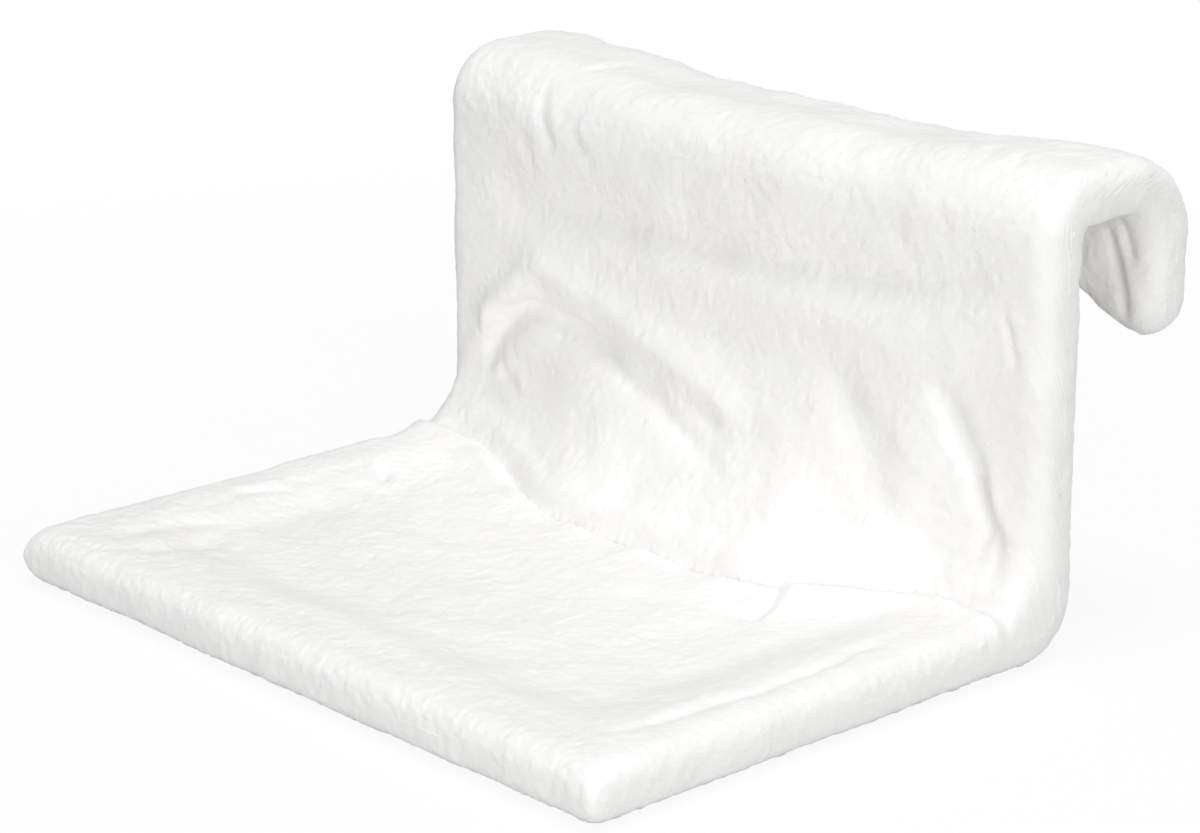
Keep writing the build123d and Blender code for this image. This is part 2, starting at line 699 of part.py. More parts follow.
# Snap buttons and the leaf springs behind them
def button(side):
    """Domed pin on a flange, drawn along +X from the post's axis and turned to its side."""
    shank_radius = button_diameter / 2
    tip = tube_radius + button_proud
    outline = make_face(
        Polyline(
            (button_flange_offset, 0),
            (button_flange_offset, button_flange_diameter / 2),
            (button_flange_offset + button_flange_thickness, button_flange_diameter / 2),
            (button_flange_offset + button_flange_thickness, shank_radius),
            (tip, shank_radius),
            (tip, 0),
            close=True,
        )
    )
    turned = revolve(outline, axis=Axis.X)
    dome = turned.faces().sort_by(Axis.X)[-1]
    turned = fillet(dome.edges(), button_dome_radius)
    flange = pin((0, 0, 0), (1, 0, 0), button_flange_diameter / 2, button_flange_offset + button_flange_thickness)
    room = pin((0, 0, -button_flange_diameter), (0, 0, 1), stub_bore - button_clearance, 2 * button_flange_diameter)
    shank = turned - flange
    turned = shank + (turned & room)
    centre, _ = button_axis_plane(side)
    return Pos(*centre) * Rot(0, 0, 180 if side > 0 else 0) * turned


def leaf_spring(side):
    """A strip folded into a long V: one leg under the button, the other on the far wall."""
    near = button_flange_offset - spring_touch
    half_strip = spring_width / 2
    reach = math.sqrt((stub_bore - spring_wall_gap) ** 2 - half_strip**2)
    foot = -spring_leg
    outline = [
        (near, spring_tail),
        (near, -spring_tail / 2),
        (-reach + spring_fold * 2, foot + spring_fold),
        (-reach + spring_fold, foot),
        (-reach, foot + spring_fold),
        (-reach, spring_tail),
        (-reach + spring_strip, spring_tail),
        (-reach + spring_strip, foot + spring_fold + spring_strip),
        (-reach + spring_fold, foot + spring_strip * fold_inside_share),
        (-reach + spring_fold + spring_strip, foot + spring_fold + spring_strip),
        (near - spring_strip, -spring_tail / 2),
        (near - spring_strip, spring_tail),
    ]
    strip = extrude(Plane.XZ * make_face(Polyline(*outline, close=True)), half_strip, both=True)
    centre, _ = button_axis_plane(side)
    return Pos(*centre) * Rot(0, 0, 180 if side > 0 else 0) * strip


for side, word in ((-1, "left"), (1, "right")):
    write(button(side), f"{word}_snap_button")
    write(leaf_spring(side), f"{word}_button_spring")

# Channels that the cover leaves for the frame
channel_radius = tube_radius + channel_clearance
left_path = hook_points(-1, half_edge, hook_foot_z + cloth)[::-1]
right_path = hook_points(1, half_edge, hook_foot_z + cloth)
frame_path = left_path + seat_points[2:4] + right_path
frame_radii = hook_radii[::-1] + seat_radii + hook_radii
frame_channel = rod_along(frame_path, frame_radii, channel_radius)
bar_channel = pin(bar_start, (1, 0, 0), channel_radius, 2 * tube_x)
button_pockets, screw_pockets = [], []
pocket_length = tube_radius + button_proud + button_pocket_clearance
head_room = head_x + screw_head_height + channel_clearance - tube_x
for side in (-1, 1):
    centre, outwards = button_axis_plane(side)
    button_pockets.append(pin(centre, outwards, button_diameter / 2 + button_pocket_clearance, pocket_length))
    centre = (side * tube_x, crossbar_y, half_edge)
    screw_pockets.append(pin(centre, (side, 0, 0), washer_width / 2 + channel_clearance, head_room))


def cover_panel(outline, channels):
    panel = lofted(outline, cavity_full)
    for channel in channels:
        panel -= channel
    return panel


def below(z, start_y, end_y):
    """A block under a level face, which cuts the cloth flat where the bed rests."""
    length = end_y - start_y
    return Pos(0, start_y + length / 2, z - half_edge / 2) * Box(bed_width, length, half_edge)


seat_channels = [frame_channel, bar_channel] + screw_pockets
seat_top_panel = cover_panel(seat_top_outline, seat_channels)
write(seat_top_panel, "seat_top_panel")
floor_cut = below(0.0, front_y, back_rear_y)
zip_plane = Plane(origin=(0, back_mid_y, zip_height), x_dir=(1, 0, 0), z_dir=(0, 1, 0))
zip_room = extrude(zip_plane * SlotOverall(2 * zip_half, zip_groove), edge_thickness)
seat_under_panel = cover_panel(seat_under_outline, seat_channels + [floor_cut, zip_room])
write(seat_under_panel, "seat_under_panel")
back_front_panel = cover_panel(back_front_outline, button_pockets + [frame_channel])
write(back_front_panel, "back_front_panel")
rest_cut = below(bed_height - edge_thickness, high_bend_y, rear_bend_y)
back_rear_panel = cover_panel(back_rear_outline, [frame_channel, rest_cut, zip_room] + button_pockets)
write(back_rear_panel, "back_rear_panel")

# Wadding between the panels
seat_wadding = lofted(seat_wadding_outline, wadding_half)
back_wadding = lofted(back_wadding_outline, wadding_half)
slider_room_y = back_rear_y - cloth - zip_tape_gap - zip_tape_thickness / 2 - tooth_thickness / 2
slider_room_y -= 2 * slider_clearance + slider_plate
trench_depth = back_rear_y - slider_room_y
trench = Box(2 * half_width, trench_depth, zip_groove)
back_wadding -= Pos(0, slider_room_y + trench_depth / 2, zip_height) * trench
back_wadding -= bar_channel
seat_wadding -= bar_channel
write(seat_wadding, "seat_wadding")
write(back_wadding, "back_wadding")

# Zip: a tape with a beaded edge and teeth on each side, a slider with its pull, and end stops
tape_mid_y = back_rear_y - cloth - zip_tape_gap - zip_tape_thickness / 2
tape_half = cavity_full - wadding_side_gap
teeth_low_x = -tape_half + teeth_end_inset
teeth_high_x = tape_half - teeth_slider_inset
teeth_span = teeth_high_x - teeth_low_x
teeth_count = int(teeth_span / tooth_pitch)


def zip_tape(side):
    """One half of the zip: side 1 is above the chain's centre line, side -1 below."""
    tape = Box(2 * tape_half, zip_tape_thickness, zip_tape_width)
    tape_centre_z = side * (zip_tape_split / 2 + zip_tape_width / 2)
    half = Pos(0, tape_mid_y, zip_height + tape_centre_z) * tape
    bead_end = -tape_half
    outline = [(bead_end, side * (zip_tape_split / 2 + bead_width)), (bead_end, side * zip_tape_split / 2)]
    tip = side * (zip_tape_split / 2 - tooth_reach + bead_width)
    shift = tooth_pitch / 2 if side > 0 else 0
    for i in range(teeth_count):
        low = teeth_low_x + shift + i * tooth_pitch + (tooth_pitch / 2 - tooth_width) / 2
        root = side * zip_tape_split / 2
        outline += [(low, root), (low, tip), (low + tooth_width, tip), (low + tooth_width, root)]
    outline += [(tape_half, side * zip_tape_split / 2), (tape_half, side * (zip_tape_split / 2 + bead_width))]
    comb = extrude(Plane.XZ * make_face(Polyline(*outline, close=True)), tooth_thickness / 2, both=True)
    return half + Pos(0, tape_mid_y, zip_height) * comb


write(zip_tape(1), "zip_tape_upper")
write(zip_tape(-1), "zip_tape_lower")

slider_x = tape_half - slider_end_inset
plate_gap = tooth_thickness + 2 * slider_clearance
bridge_y = tape_mid_y + plate_gap / 2 + slider_plate + bridge_height - bridge_bar - pull_thickness / 2 - slider_clearance


def zip_slider():
    """Two plates joined by the wedge that parts the teeth, with side flanges and the pull's bridge."""
    plate = Box(slider_length, slider_plate, slider_height)
    plate = fillet(plate.edges().filter_by(Axis.Y), slider_plate)
    offset = plate_gap / 2 + slider_plate / 2
    body = Pos(0, offset, 0) * plate + Pos(0, -offset, 0) * plate
    wedge = Box(slider_post_length, plate_gap + slider_plate, slider_post_height)
    body += Pos((slider_length - slider_post_length) / 2 - slider_plate / 2, 0, 0) * wedge
    lip = (plate_gap - zip_tape_thickness) / 2 - slider_clearance
    rail = Box(slider_length * rail_share, lip, slider_flange)
    for side_y in (-1, 1):
        for side_z in (-1, 1):
            y = side_y * (plate_gap / 2 - lip / 2)
            z = side_z * (slider_height / 2 - slider_flange / 2)
            body += Pos(0, y, z) * rail
    base_y = plate_gap / 2 + slider_plate
    bridge_length = slider_length - 2 * bridge_inset
    bridge = Pos(0, base_y + bridge_height / 2, 0) * Box(bridge_length, bridge_height, bridge_width)
    opening_length = bridge_length - 2 * bridge_bar
    opening_height = bridge_height - bridge_bar
    bridge -= Pos(0, base_y + opening_height / 2, 0) * Box(opening_length, opening_height, bridge_width)
    upper = bridge.edges().filter_by(Axis.Z).sort_by(Axis.Y)[-2:]
    bridge = fillet(upper, bridge_bar * bridge_round_share)
    return Pos(slider_x, tape_mid_y, zip_height) * (body + bridge)


def zip_pull():
    """Flat tab that lies back along the chain; its eye's end bar turns under the bridge."""
    tab = Box(pull_length, pull_thickness, pull_width)
    tab = Pos(-pull_length / 2 + pull_thickness / 2, 0, 0) * tab
    tab = fillet(tab.edges().filter_by(Axis.Y).sort_by(Axis.X)[:2], pull_width * pull_round_share)
    eye = Box(pull_eye_length, pull_thickness, pull_width - 2 * pull_eye_rim)
    tab -= Pos(-pull_thickness / 2 - pull_eye_length / 2, 0, 0) * eye
    tab = fillet(tab.edges().filter_by(Axis.Z).sort_by(Axis.X)[-2:], pull_thickness * pull_bar_share)
    hole_x = -pull_length + pull_width * pull_hole_share
    hole = pin((hole_x, -pull_thickness, 0), (0, 1, 0), pull_hole_diameter / 2, 2 * pull_thickness)
    return Pos(slider_x, bridge_y, zip_height) * (tab - hole)


def zip_stop(x, side, reach):
    """A crimped clip round the tape's bead. Reach is how far it goes over the centre line."""
    inside = tooth_thickness + 2 * stop_clearance
    low = zip_tape_split / 2 + bead_width + stop_clearance + stop_wall
    clip = Box(stop_length, inside + 2 * stop_wall, low + reach)
    clip = Pos(0, 0, (low - reach) / 2) * clip
    bead = Box(2 * stop_length, inside, bead_width + 2 * stop_clearance)
    clip -= Pos(0, 0, zip_tape_split / 2 + bead_width / 2) * bead
    slot = Box(2 * stop_length, zip_tape_thickness + 2 * stop_clearance, low)
    clip -= Pos(0, 0, zip_tape_split / 2 + bead_width + low / 2) * slot
    turn = Rot(0, 0, 0) if side > 0 else Rot(180, 0, 0)
    return Pos(x, tape_mid_y, zip_height) * turn * clip


def zip_end_stop(x):
    """The clip that holds both tapes together where the zip ends."""
    inside = tooth_thickness + 2 * stop_clearance
    half_height = zip_tape_split / 2 + bead_width + stop_clearance + stop_wall
    clip = Box(stop_length, inside + 2 * stop_wall, 2 * half_height)
    for side in (-1, 1):
        bead = Box(2 * stop_length, inside, bead_width + 2 * stop_clearance)
        clip -= Pos(0, 0, side * (zip_tape_split + bead_width) / 2) * bead
        slot = Box(2 * stop_length, zip_tape_thickness + 2 * stop_clearance, half_height)
        clip -= Pos(0, 0, side * (zip_tape_split / 2 + bead_width + half_height / 2)) * slot
    return Pos(x, tape_mid_y, zip_height) * clip


top_stop_x = slider_x + slider_length / 2 + stop_length
stop_reach = stop_wall + stop_clearance - zip_tape_split / 2
stops = [zip_stop(top_stop_x, side, stop_reach) for side in (-1, 1)]
stops.append(zip_end_stop(teeth_low_x - stop_length))
write(Compound(children=stops), "zip_stops")
write(zip_slider(), "zip_slider")
write(zip_pull(), "zip_pull")
print("zip travel", round(slider_x - slider_length / 2 - teeth_low_x, 2))
print("slider", slider_x, "hinge y", round(bridge_y, 3), "z", zip_height)
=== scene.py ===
import math

import bpy
import numpy as np
from mathutils import Matrix, Vector


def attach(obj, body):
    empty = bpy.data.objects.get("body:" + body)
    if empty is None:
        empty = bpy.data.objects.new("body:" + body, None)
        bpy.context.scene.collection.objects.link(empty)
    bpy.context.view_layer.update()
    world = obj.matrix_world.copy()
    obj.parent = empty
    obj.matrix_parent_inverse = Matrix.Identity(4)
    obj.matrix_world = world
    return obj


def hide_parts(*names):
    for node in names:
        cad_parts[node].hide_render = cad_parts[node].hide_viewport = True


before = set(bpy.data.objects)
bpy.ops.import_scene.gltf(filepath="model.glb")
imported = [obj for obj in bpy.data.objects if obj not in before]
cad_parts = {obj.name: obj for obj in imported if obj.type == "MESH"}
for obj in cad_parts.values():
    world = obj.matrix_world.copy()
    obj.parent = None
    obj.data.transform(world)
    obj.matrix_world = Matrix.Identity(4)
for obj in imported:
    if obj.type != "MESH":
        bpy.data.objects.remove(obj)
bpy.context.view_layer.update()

# The forms are worked out in millimetres, as in the CAD source, and written in metres
MM = 0.001

# The bed as a whole, and the middle lines of its padded edges
BED_WIDTH = 450.0
BED_HEIGHT = 247.0
EDGE = 30.0
HALF = BED_WIDTH / 2
HALF_EDGE = EDGE / 2
FRONT_Y = -203.5
HOOK_MID_Y = 188.5
BACK_MID_Y = 107.5
TOP_MID_Z = 232.0
HOOK_FOOT_Z = 149.0
TUBE_X = 210.0
TUBE_ROOM = 7.0

# The bends: radius of the middle line, and centres
BEND = 20.0
HOOK_BEND = 32.0
LOW_BEND_Y, LOW_BEND_Z = 87.5, 35.0
HIGH_BEND_Y, HIGH_BEND_Z = 127.5, 212.0
REAR_BEND_Y, REAR_BEND_Z = 156.5, 200.0

# The rounding of the edges, and where the slack cloth between the tubes begins
POWER = 2.4
LIP = 0.02
FLAT_CUT = 0.5
CAVITY = 196.0
CAVITY_RAMP = 10.0
SLACK_RUN = 40.0

# Seat, crease, foot of the back, top, hook and zip
SEAT_DISH, SEAT_DISH_RUN = 8.0, 46.0
SEAM_SIDE_Y, SEAM_MIDDLE_Y = 72.5, 32.5
SEAM_DIP, SEAM_RISE, SEAM_RIDGE, SEAM_FLAT = 2.0, 1.5, 2.0, 60.0
BOWL_MIDDLE, BOWL_SIDE, BOWL_POWER = 126.0, 62.0, 1.7
TOP_SAG, TOP_SAG_FRONT, TOP_SAG_REAR = 8.0, 0.55, 0.45
HOOK_HOLLOW, HOOK_INNER_HOLLOW = 5.0, 4.0
FRONT_CORNER, HOOK_CORNER = 5.0, 20.0
FOOT_RISE, FOOT_RISE_RUN, FOOT_RISE_START = 26.0, 70.0, 212.0
SLACK_LEG = 36.0
ZIP_Z, ZIP_GROOVE, ZIP_HALF = 52.0, 14.0, 188.0

# The broad folds of the back. What is named ACROSS is a share of the half width, and what is named
# UP a share of the height
ARCH_LEFT_ACROSS, ARCH_PEAK_ACROSS, ARCH_RIGHT_ACROSS = -0.91, -0.62, 0.09
ARCH_LEFT_UP, ARCH_PEAK_UP, ARCH_RIGHT_UP = 0.22, 0.455, 0.29
ARCH_LEFT_POWER, ARCH_RIGHT_POWER = 1.6, 1.1
ARCH_LIFT, ARCH_SPREAD = 5.0, 10.0
HOLLOW_DEPTH, HOLLOW_SPREAD, HOLLOW_RUN = 5.0, 17.0, 34.0
HOLLOW_Z, HOLLOW_TILT, HOLLOW_CURVE = 165.0, 0.047, 0.079
SIDE_FOLD_DEPTH, SIDE_FOLD_SPREAD, SIDE_FOLD_POWER = 6.0, 9.0, 1.6
SIDE_FOLD_LOW_ACROSS, SIDE_FOLD_HIGH_ACROSS = 0.885, 0.71
SIDE_FOLD_LOW_UP, SIDE_FOLD_HIGH_UP = 0.14, 0.53
BULGE_LIFT, BULGE_ACROSS, BULGE_UP = 5.0, 0.62, 0.31
BULGE_SPREAD_X, BULGE_SPREAD_Z = 26.0, 52.0

# The meshes: points along the dense lines, every how many of them the inner face has one,
# how thin a piece may get, and the angle at which smooth shading stops
ROLL_POINTS, FACE_POINTS, FLAT_POINTS, LEG_POINTS = 80, 500, 300, 60
INNER_STEP = 12
THINNEST = 0.3
SHARP = 75.0
# In how many rows of points the normals turn to the direction in which an end or a side lifts
END_TURN, SIDE_TURN = 4, 3
# How far the edges of a panel tuck in, how far its inner face stays behind the rim at the sides,
# and how thick the edge must be for the wrinkles to have their full depth
TUCK = 0.6
RIM_SETBACK = 0.2
FULL_DETAIL = 12.0

rng = np.random.default_rng(7)


# Small functions on numbers and arrays
def clamp(t):
    return np.clip(t, 0.0, 1.0)


def smooth(t):
    t = clamp(t)
    return t * t * (3 - 2 * t)


def mix(a, b, share):
    return a + (b - a) * share


def bell(t):
    return np.exp(-(t**2))


# Smooth noise on a fixed lattice of random numbers
LATTICE = 64
SEED_SHIFT = np.array([13.7, 5.3, 9.1])
lattice = rng.random((LATTICE, LATTICE, LATTICE)) * 2 - 1


def noise(points, size, seed):
    """Smooth noise from -1 to 1 at each point, with cells of that size in millimetres."""
    p = points / size + SEED_SHIFT * (seed + 1)
    cell = np.floor(p).astype(int)
    f = p - cell
    # The shares of the cell's two sides blend without a kink
    f = f * f * f * (f * (f * 6 - 15) + 10)
    total = np.zeros(len(p))
    for dx in (0, 1):
        wx = f[:, 0] if dx else 1 - f[:, 0]
        for dy in (0, 1):
            wy = f[:, 1] if dy else 1 - f[:, 1]
            for dz in (0, 1):
                wz = f[:, 2] if dz else 1 - f[:, 2]
                i = (cell + (dx, dy, dz)) % LATTICE
                total += wx * wy * wz * lattice[i[:, 0], i[:, 1], i[:, 2]]
    return total


def layers(points, table):
    """Layers of noise, each with its cell size and its height in millimetres and its seed."""
    return sum(noise(points, size, seed) * height for size, height, seed in table)


# Form of the padded edges and of the slack cloth. It is that of the CAD source, and leg_slack is
# the one thing added here.
def edge_height(x):
    outwards = clamp((np.abs(x) - TUBE_X) / HALF_EDGE)
    return np.maximum(LIP, HALF_EDGE * (1 - outwards**POWER) ** (1 / POWER))


def slack_share(x):
    return smooth((CAVITY - np.abs(x)) / (CAVITY - SEAM_FLAT))


def seam_y(x):
    return mix(SEAM_SIDE_Y, SEAM_MIDDLE_Y, slack_share(x))


def seam_z(x):
    edge = edge_height(x)
    side = HALF_EDGE + edge + SEAM_RISE * edge / HALF_EDGE
    return mix(side, EDGE - SEAT_DISH - SEAM_DIP, slack_share(x))


def corner_inset(x, radius):
    into = clamp((np.abs(x) - (HALF - radius)) / radius)
    return radius * (1 - np.sqrt(np.maximum(0.0, 1 - into * into)))


def foot_height(x):
    rise = FOOT_RISE * smooth((FOOT_RISE_START - np.abs(x)) / FOOT_RISE_RUN)
    return HOOK_FOOT_Z + corner_inset(x, HOOK_CORNER) + rise


def leg_slack(x):
    """How slack the hook's leg hangs: where its foot is drawn up, the short leg stays full."""
    length = REAR_BEND_Z - foot_height(x) - HALF_EDGE
    return slack_share(x) * smooth(length / SLACK_LEG)


def seat_surface(x, y):
    start = FRONT_Y + corner_inset(x, FRONT_CORNER)
    inwards = clamp((y - start) / HALF_EDGE)
    roll = (1 - (1 - inwards) ** POWER) ** (1 / POWER)
    rim = HALF_EDGE + np.maximum(LIP, edge_height(x) * roll)
    from_side = smooth((CAVITY - np.abs(x)) / SEAT_DISH_RUN)
    from_front = smooth((y - FRONT_Y - EDGE) / SEAT_DISH_RUN)
    to_seam = (y - seam_y(x)) / HALF_EDGE
    ridge = SEAM_RIDGE * np.exp(-((to_seam + 1) ** 2) * 2) * from_side
    level = rim - SEAT_DISH * from_side * from_front + ridge
    return mix(seam_z(x), level, smooth((seam_y(x) - y) / EDGE))


def arch_height(x):
    peak = ARCH_PEAK_ACROSS * HALF
    left, right = ARCH_LEFT_ACROSS * HALF, ARCH_RIGHT_ACROSS * HALF
    left_fall = clamp((peak - x) / (peak - left)) ** ARCH_LEFT_POWER
    right_fall = clamp((x - peak) / (right - peak)) ** ARCH_RIGHT_POWER
    to_left = (ARCH_PEAK_UP - ARCH_LEFT_UP) * left_fall
    to_right = (ARCH_PEAK_UP - ARCH_RIGHT_UP) * right_fall
    return BED_HEIGHT * (ARCH_PEAK_UP - np.where(x < peak, to_left, to_right))


def folds(x, z):
    """How far the broad folds of the back stand forward of its smooth form."""
    slack = smooth((CAVITY - np.abs(x)) / CAVITY_RAMP)
    away = smooth((CAVITY - np.abs(x)) / HOLLOW_RUN)
    across = x / HALF
    hollow_z = HOLLOW_Z + BED_HEIGHT * (HOLLOW_TILT * across + HOLLOW_CURVE * across**2)
    hollow = -HOLLOW_DEPTH * bell((z - hollow_z) / HOLLOW_SPREAD)
    past_arch = smooth((ARCH_RIGHT_ACROSS * HALF + HALF_EDGE - x) / EDGE)
    above = (z - arch_height(x)) / ARCH_SPREAD - 1
    arch = ARCH_LIFT * past_arch * above * np.exp((1 - above**2) / 2)
    fold_height = SIDE_FOLD_HIGH_UP - SIDE_FOLD_LOW_UP
    rise = clamp((z / BED_HEIGHT - SIDE_FOLD_LOW_UP) / fold_height)
    lean = SIDE_FOLD_LOW_ACROSS - SIDE_FOLD_HIGH_ACROSS
    fold_share = SIDE_FOLD_LOW_ACROSS - lean * rise**SIDE_FOLD_POWER
    low = smooth((SIDE_FOLD_HIGH_UP * BED_HEIGHT + HALF_EDGE - z) / EDGE)
    side_fold = -SIDE_FOLD_DEPTH * low * bell((x - fold_share * HALF) / SIDE_FOLD_SPREAD)
    from_bulge_x = (x - BULGE_ACROSS * HALF) / BULGE_SPREAD_X
    from_bulge_z = (z - BULGE_UP * BED_HEIGHT) / BULGE_SPREAD_Z
    bulge = BULGE_LIFT * bell(np.hypot(from_bulge_x, from_bulge_z))
    return away * hollow + slack * (arch + side_fold + bulge)


def back_surface(x, z):
    leave = mix(BOWL_SIDE, BOWL_MIDDLE, slack_share(x))
    start = BACK_MID_Y - edge_height(x)
    height = clamp((z - seam_z(x)) / (leave - seam_z(x)))
    bowl = (start - seam_y(x)) * (1 - height) ** BOWL_POWER
    above_seam = smooth((z - seam_z(x)) / EDGE)
    below_top = smooth((HIGH_BEND_Z - z) / EDGE)
    return start - bowl - folds(x, z) * above_seam * below_top


# Outer line of each panel at a station, as dense points in Y and Z
def turn(centre, radius, start, end, count=60):
    a = np.radians(np.linspace(start, end, count))
    return np.c_[centre[0] + radius * np.cos(a), centre[1] + radius * np.sin(a)]


def line(a, b, count=40):
    s = np.linspace(0, 1, count)[:, None]
    return mix(np.array(a, float), np.array(b, float), s)


def seat_top_line(x):
    start = FRONT_Y + corner_inset(x, FRONT_CORNER)
    a = np.radians(np.linspace(0, 90, ROLL_POINTS))
    roll = start + HALF_EDGE * (1 - np.cos(a) ** (2 / POWER))
    rest = np.linspace(start + HALF_EDGE, seam_y(x), FACE_POINTS)[1:]
    y = np.r_[roll, rest]
    return np.c_[y, seat_surface(x, y)]


def seat_under_line(x):
    start = FRONT_Y + corner_inset(x, FRONT_CORNER)
    edge = edge_height(x)
    low = edge + FLAT_CUT * edge / HALF_EDGE
    a = np.radians(np.linspace(0, 90, ROLL_POINTS))
    roll = np.c_[
        start + HALF_EDGE * (1 - np.cos(a) ** (2 / POWER)),
        HALF_EDGE - np.maximum(LIP, low * np.sin(a) ** (2 / POWER)),
    ]
    low_z = HALF_EDGE - low
    end_z = ZIP_Z - ZIP_GROOVE / 2 if abs(x) < ZIP_HALF else ZIP_Z
    flat = line(roll[-1], (LOW_BEND_Y, low_z), FLAT_POINTS)[1:]
    bend_y, bend_z = BACK_MID_Y + edge - LOW_BEND_Y, LOW_BEND_Z - low_z
    a = np.radians(np.linspace(-90, 0, ROLL_POINTS))[1:]
    bend = np.c_[LOW_BEND_Y + bend_y * np.cos(a), LOW_BEND_Z + bend_z * np.sin(a)]
    up = line(bend[-1], (BACK_MID_Y + edge, end_z), 30)[1:]
    points = np.vstack([roll, flat, bend, up])
    points[:, 1] = np.maximum(points[:, 1], 0.0)
    return points


def face_line(x):
    z = np.linspace(seam_z(x), HIGH_BEND_Z, FACE_POINTS)
    face = np.c_[back_surface(x, z), z]
    face[0, 0] = seam_y(x)
    return face


def middle_line(start_y):
    """Halfway through the edge, from the crease round the low bend and up the post. It has as
    many points as the line of the face, because the two are mixed."""
    floor_count, bend_count = 41, 51
    floor = line((start_y, HALF_EDGE), (LOW_BEND_Y, HALF_EDGE), floor_count)
    bend = turn((LOW_BEND_Y, LOW_BEND_Z), BEND, -90, 0, bend_count)
    post_count = FACE_POINTS + 2 - floor_count - bend_count
    post = line((BACK_MID_Y, LOW_BEND_Z), (BACK_MID_Y, HIGH_BEND_Z), post_count)
    return np.vstack([floor, bend[1:], post[1:]])


def back_front_line(x):
    edge = edge_height(x)
    foot_z = foot_height(x)
    face = face_line(min(abs(x), TUBE_X) * np.sign(x))
    if abs(x) > TUBE_X:
        face = mix(middle_line(face[0, 0]), face, edge / HALF_EDGE)
    sag = TOP_SAG * slack_share(x) * edge / HALF_EDGE
    bend = turn((HIGH_BEND_Y, HIGH_BEND_Z), BEND + edge, 180, 90)[1:]
    top = line(bend[-1], (REAR_BEND_Y, TOP_MID_Z + edge))[1:]
    rear = turn((REAR_BEND_Y, REAR_BEND_Z), HOOK_BEND + edge, 90, 0, ROLL_POINTS)[1:]
    over = np.vstack([bend, top, rear])
    step = np.hypot(*np.diff(over, axis=0, prepend=over[:1]).T)
    along = np.cumsum(step) / step.sum()
    into, out_of = smooth(along / TOP_SAG_FRONT), smooth((1 - along) / TOP_SAG_REAR)
    over[:, 1] -= sag * np.minimum(into, out_of)
    leg = line(rear[-1], (HOOK_MID_Y + edge, foot_z + edge), LEG_POINTS)[1:]
    down = np.linspace(0, 1, len(leg))
    leg[:, 0] -= HOOK_HOLLOW * leg_slack(x) * np.sin(np.pi * down) ** 2
    foot = turn((HOOK_MID_Y, foot_z + edge), edge, 0, -90, 40)[1:]
    return np.vstack([face, over, leg, foot])


def back_rear_line(x):
    edge = edge_height(x)
    foot_z = foot_height(x)
    start_z = ZIP_Z + ZIP_GROOVE / 2 if abs(x) < ZIP_HALF else ZIP_Z
    up = line((BACK_MID_Y + edge, start_z), (BACK_MID_Y + edge, HIGH_BEND_Z), FLAT_POINTS)
    cut = FLAT_CUT * edge / HALF_EDGE
    bend = turn((HIGH_BEND_Y, HIGH_BEND_Z), BEND - edge - cut / 2, 180, 90, 30)[1:]
    rest_z = TOP_MID_Z - edge - cut
    top = line((HIGH_BEND_Y, rest_z), (REAR_BEND_Y, rest_z))
    rear = turn((REAR_BEND_Y, REAR_BEND_Z), HOOK_BEND - edge - cut / 2, 90, 0)[1:]
    leg_y = HOOK_MID_Y - edge
    leg = line((leg_y, REAR_BEND_Z), (leg_y, foot_z + edge), LEG_POINTS)
    down = np.linspace(0, 1, len(leg))
    leg[:, 0] += HOOK_INNER_HOLLOW * leg_slack(x) * np.sin(np.pi * down) ** 2
    foot = turn((HOOK_MID_Y, foot_z + edge), edge, 180, 270, 40)[1:]
    return np.vstack([up, bend, top, rear, leg, foot])


def resampled(points, count):
    """The same line with that many points, evenly spaced."""
    step = np.hypot(*np.diff(points, axis=0).T)
    along = np.r_[0, np.cumsum(step)]
    want = np.linspace(0, along[-1], count)
    return np.c_[np.interp(want, along, points[:, 0]), np.interp(want, along, points[:, 1])]


def stations(spacing):
    """Places across the width: even over the tubes and between them, then round the side rolls."""
    inner = np.linspace(-TUBE_X, TUBE_X, int(2 * TUBE_X / spacing) + 1)
    roll_length = 1.25 * HALF_EDGE
    count = max(6, int(roll_length / spacing))
    a = np.radians(np.linspace(0, 90, count + 1))[1:]
    roll = TUBE_X + HALF_EDGE * np.sin(a) ** (2 / POWER)
    return np.r_[-roll[::-1], inner, roll]


def grid_normals(grid):
    du = np.gradient(grid, axis=0)
    dv = np.gradient(grid, axis=1)
    n = np.cross(du, dv)
    size = np.linalg.norm(n, axis=2, keepdims=True)
    return n / np.maximum(size, 1e-9)


def link(obj):
    bpy.context.scene.collection.objects.link(obj)
    return obj


def mesh_object(name, vertices, faces, material):
    """An object from points in millimetres and faces of any size, smooth shaded."""
    mesh = bpy.data.meshes.new(name)
    mesh.from_pydata((np.asarray(vertices) * MM).tolist(), [], faces)
    mesh.shade_smooth()
    mesh.set_sharp_from_angle(angle=math.radians(SHARP))
    mesh.materials.append(material)
    mesh.update()
    return link(bpy.data.objects.new(name, mesh))


# Layers of noise: cell size, height, seed
PILE_TUFTS = ((4.6, 0.24, 1), (2.6, 0.38, 2))
PILE_SWELLS = ((15.0, 0.45, 3), (38.0, 0.7, 4))
SEAT_UNEVEN = ((62.0, 1.6, 9), (27.0, 0.7, 10))
FACE_UNEVEN = ((58.0, 1.5, 11), (24.0, 0.6, 12))
REAR_UNEVEN = ((58.0, 1.6, 11), (24.0, 0.6, 12))
LEG_UNEVEN = ((18.0, 0.8, 13),)
UNDER_UNEVEN = ((30.0, 0.4, 14),)
WRINKLE_WANDER = ((24.0, 2.2, 7),)
PUCKER_SHIFT = ((30.0, 2.5, 8),)
FLEECE_UNEVEN = ((6.0, 0.3, 5), (20.0, 0.4, 6))


def pile_displacement(points):
    """The uneven surface of short pile: tufts a few millimetres apart, and softer swells."""
    return layers(points, PILE_TUFTS) + layers(points, PILE_SWELLS)


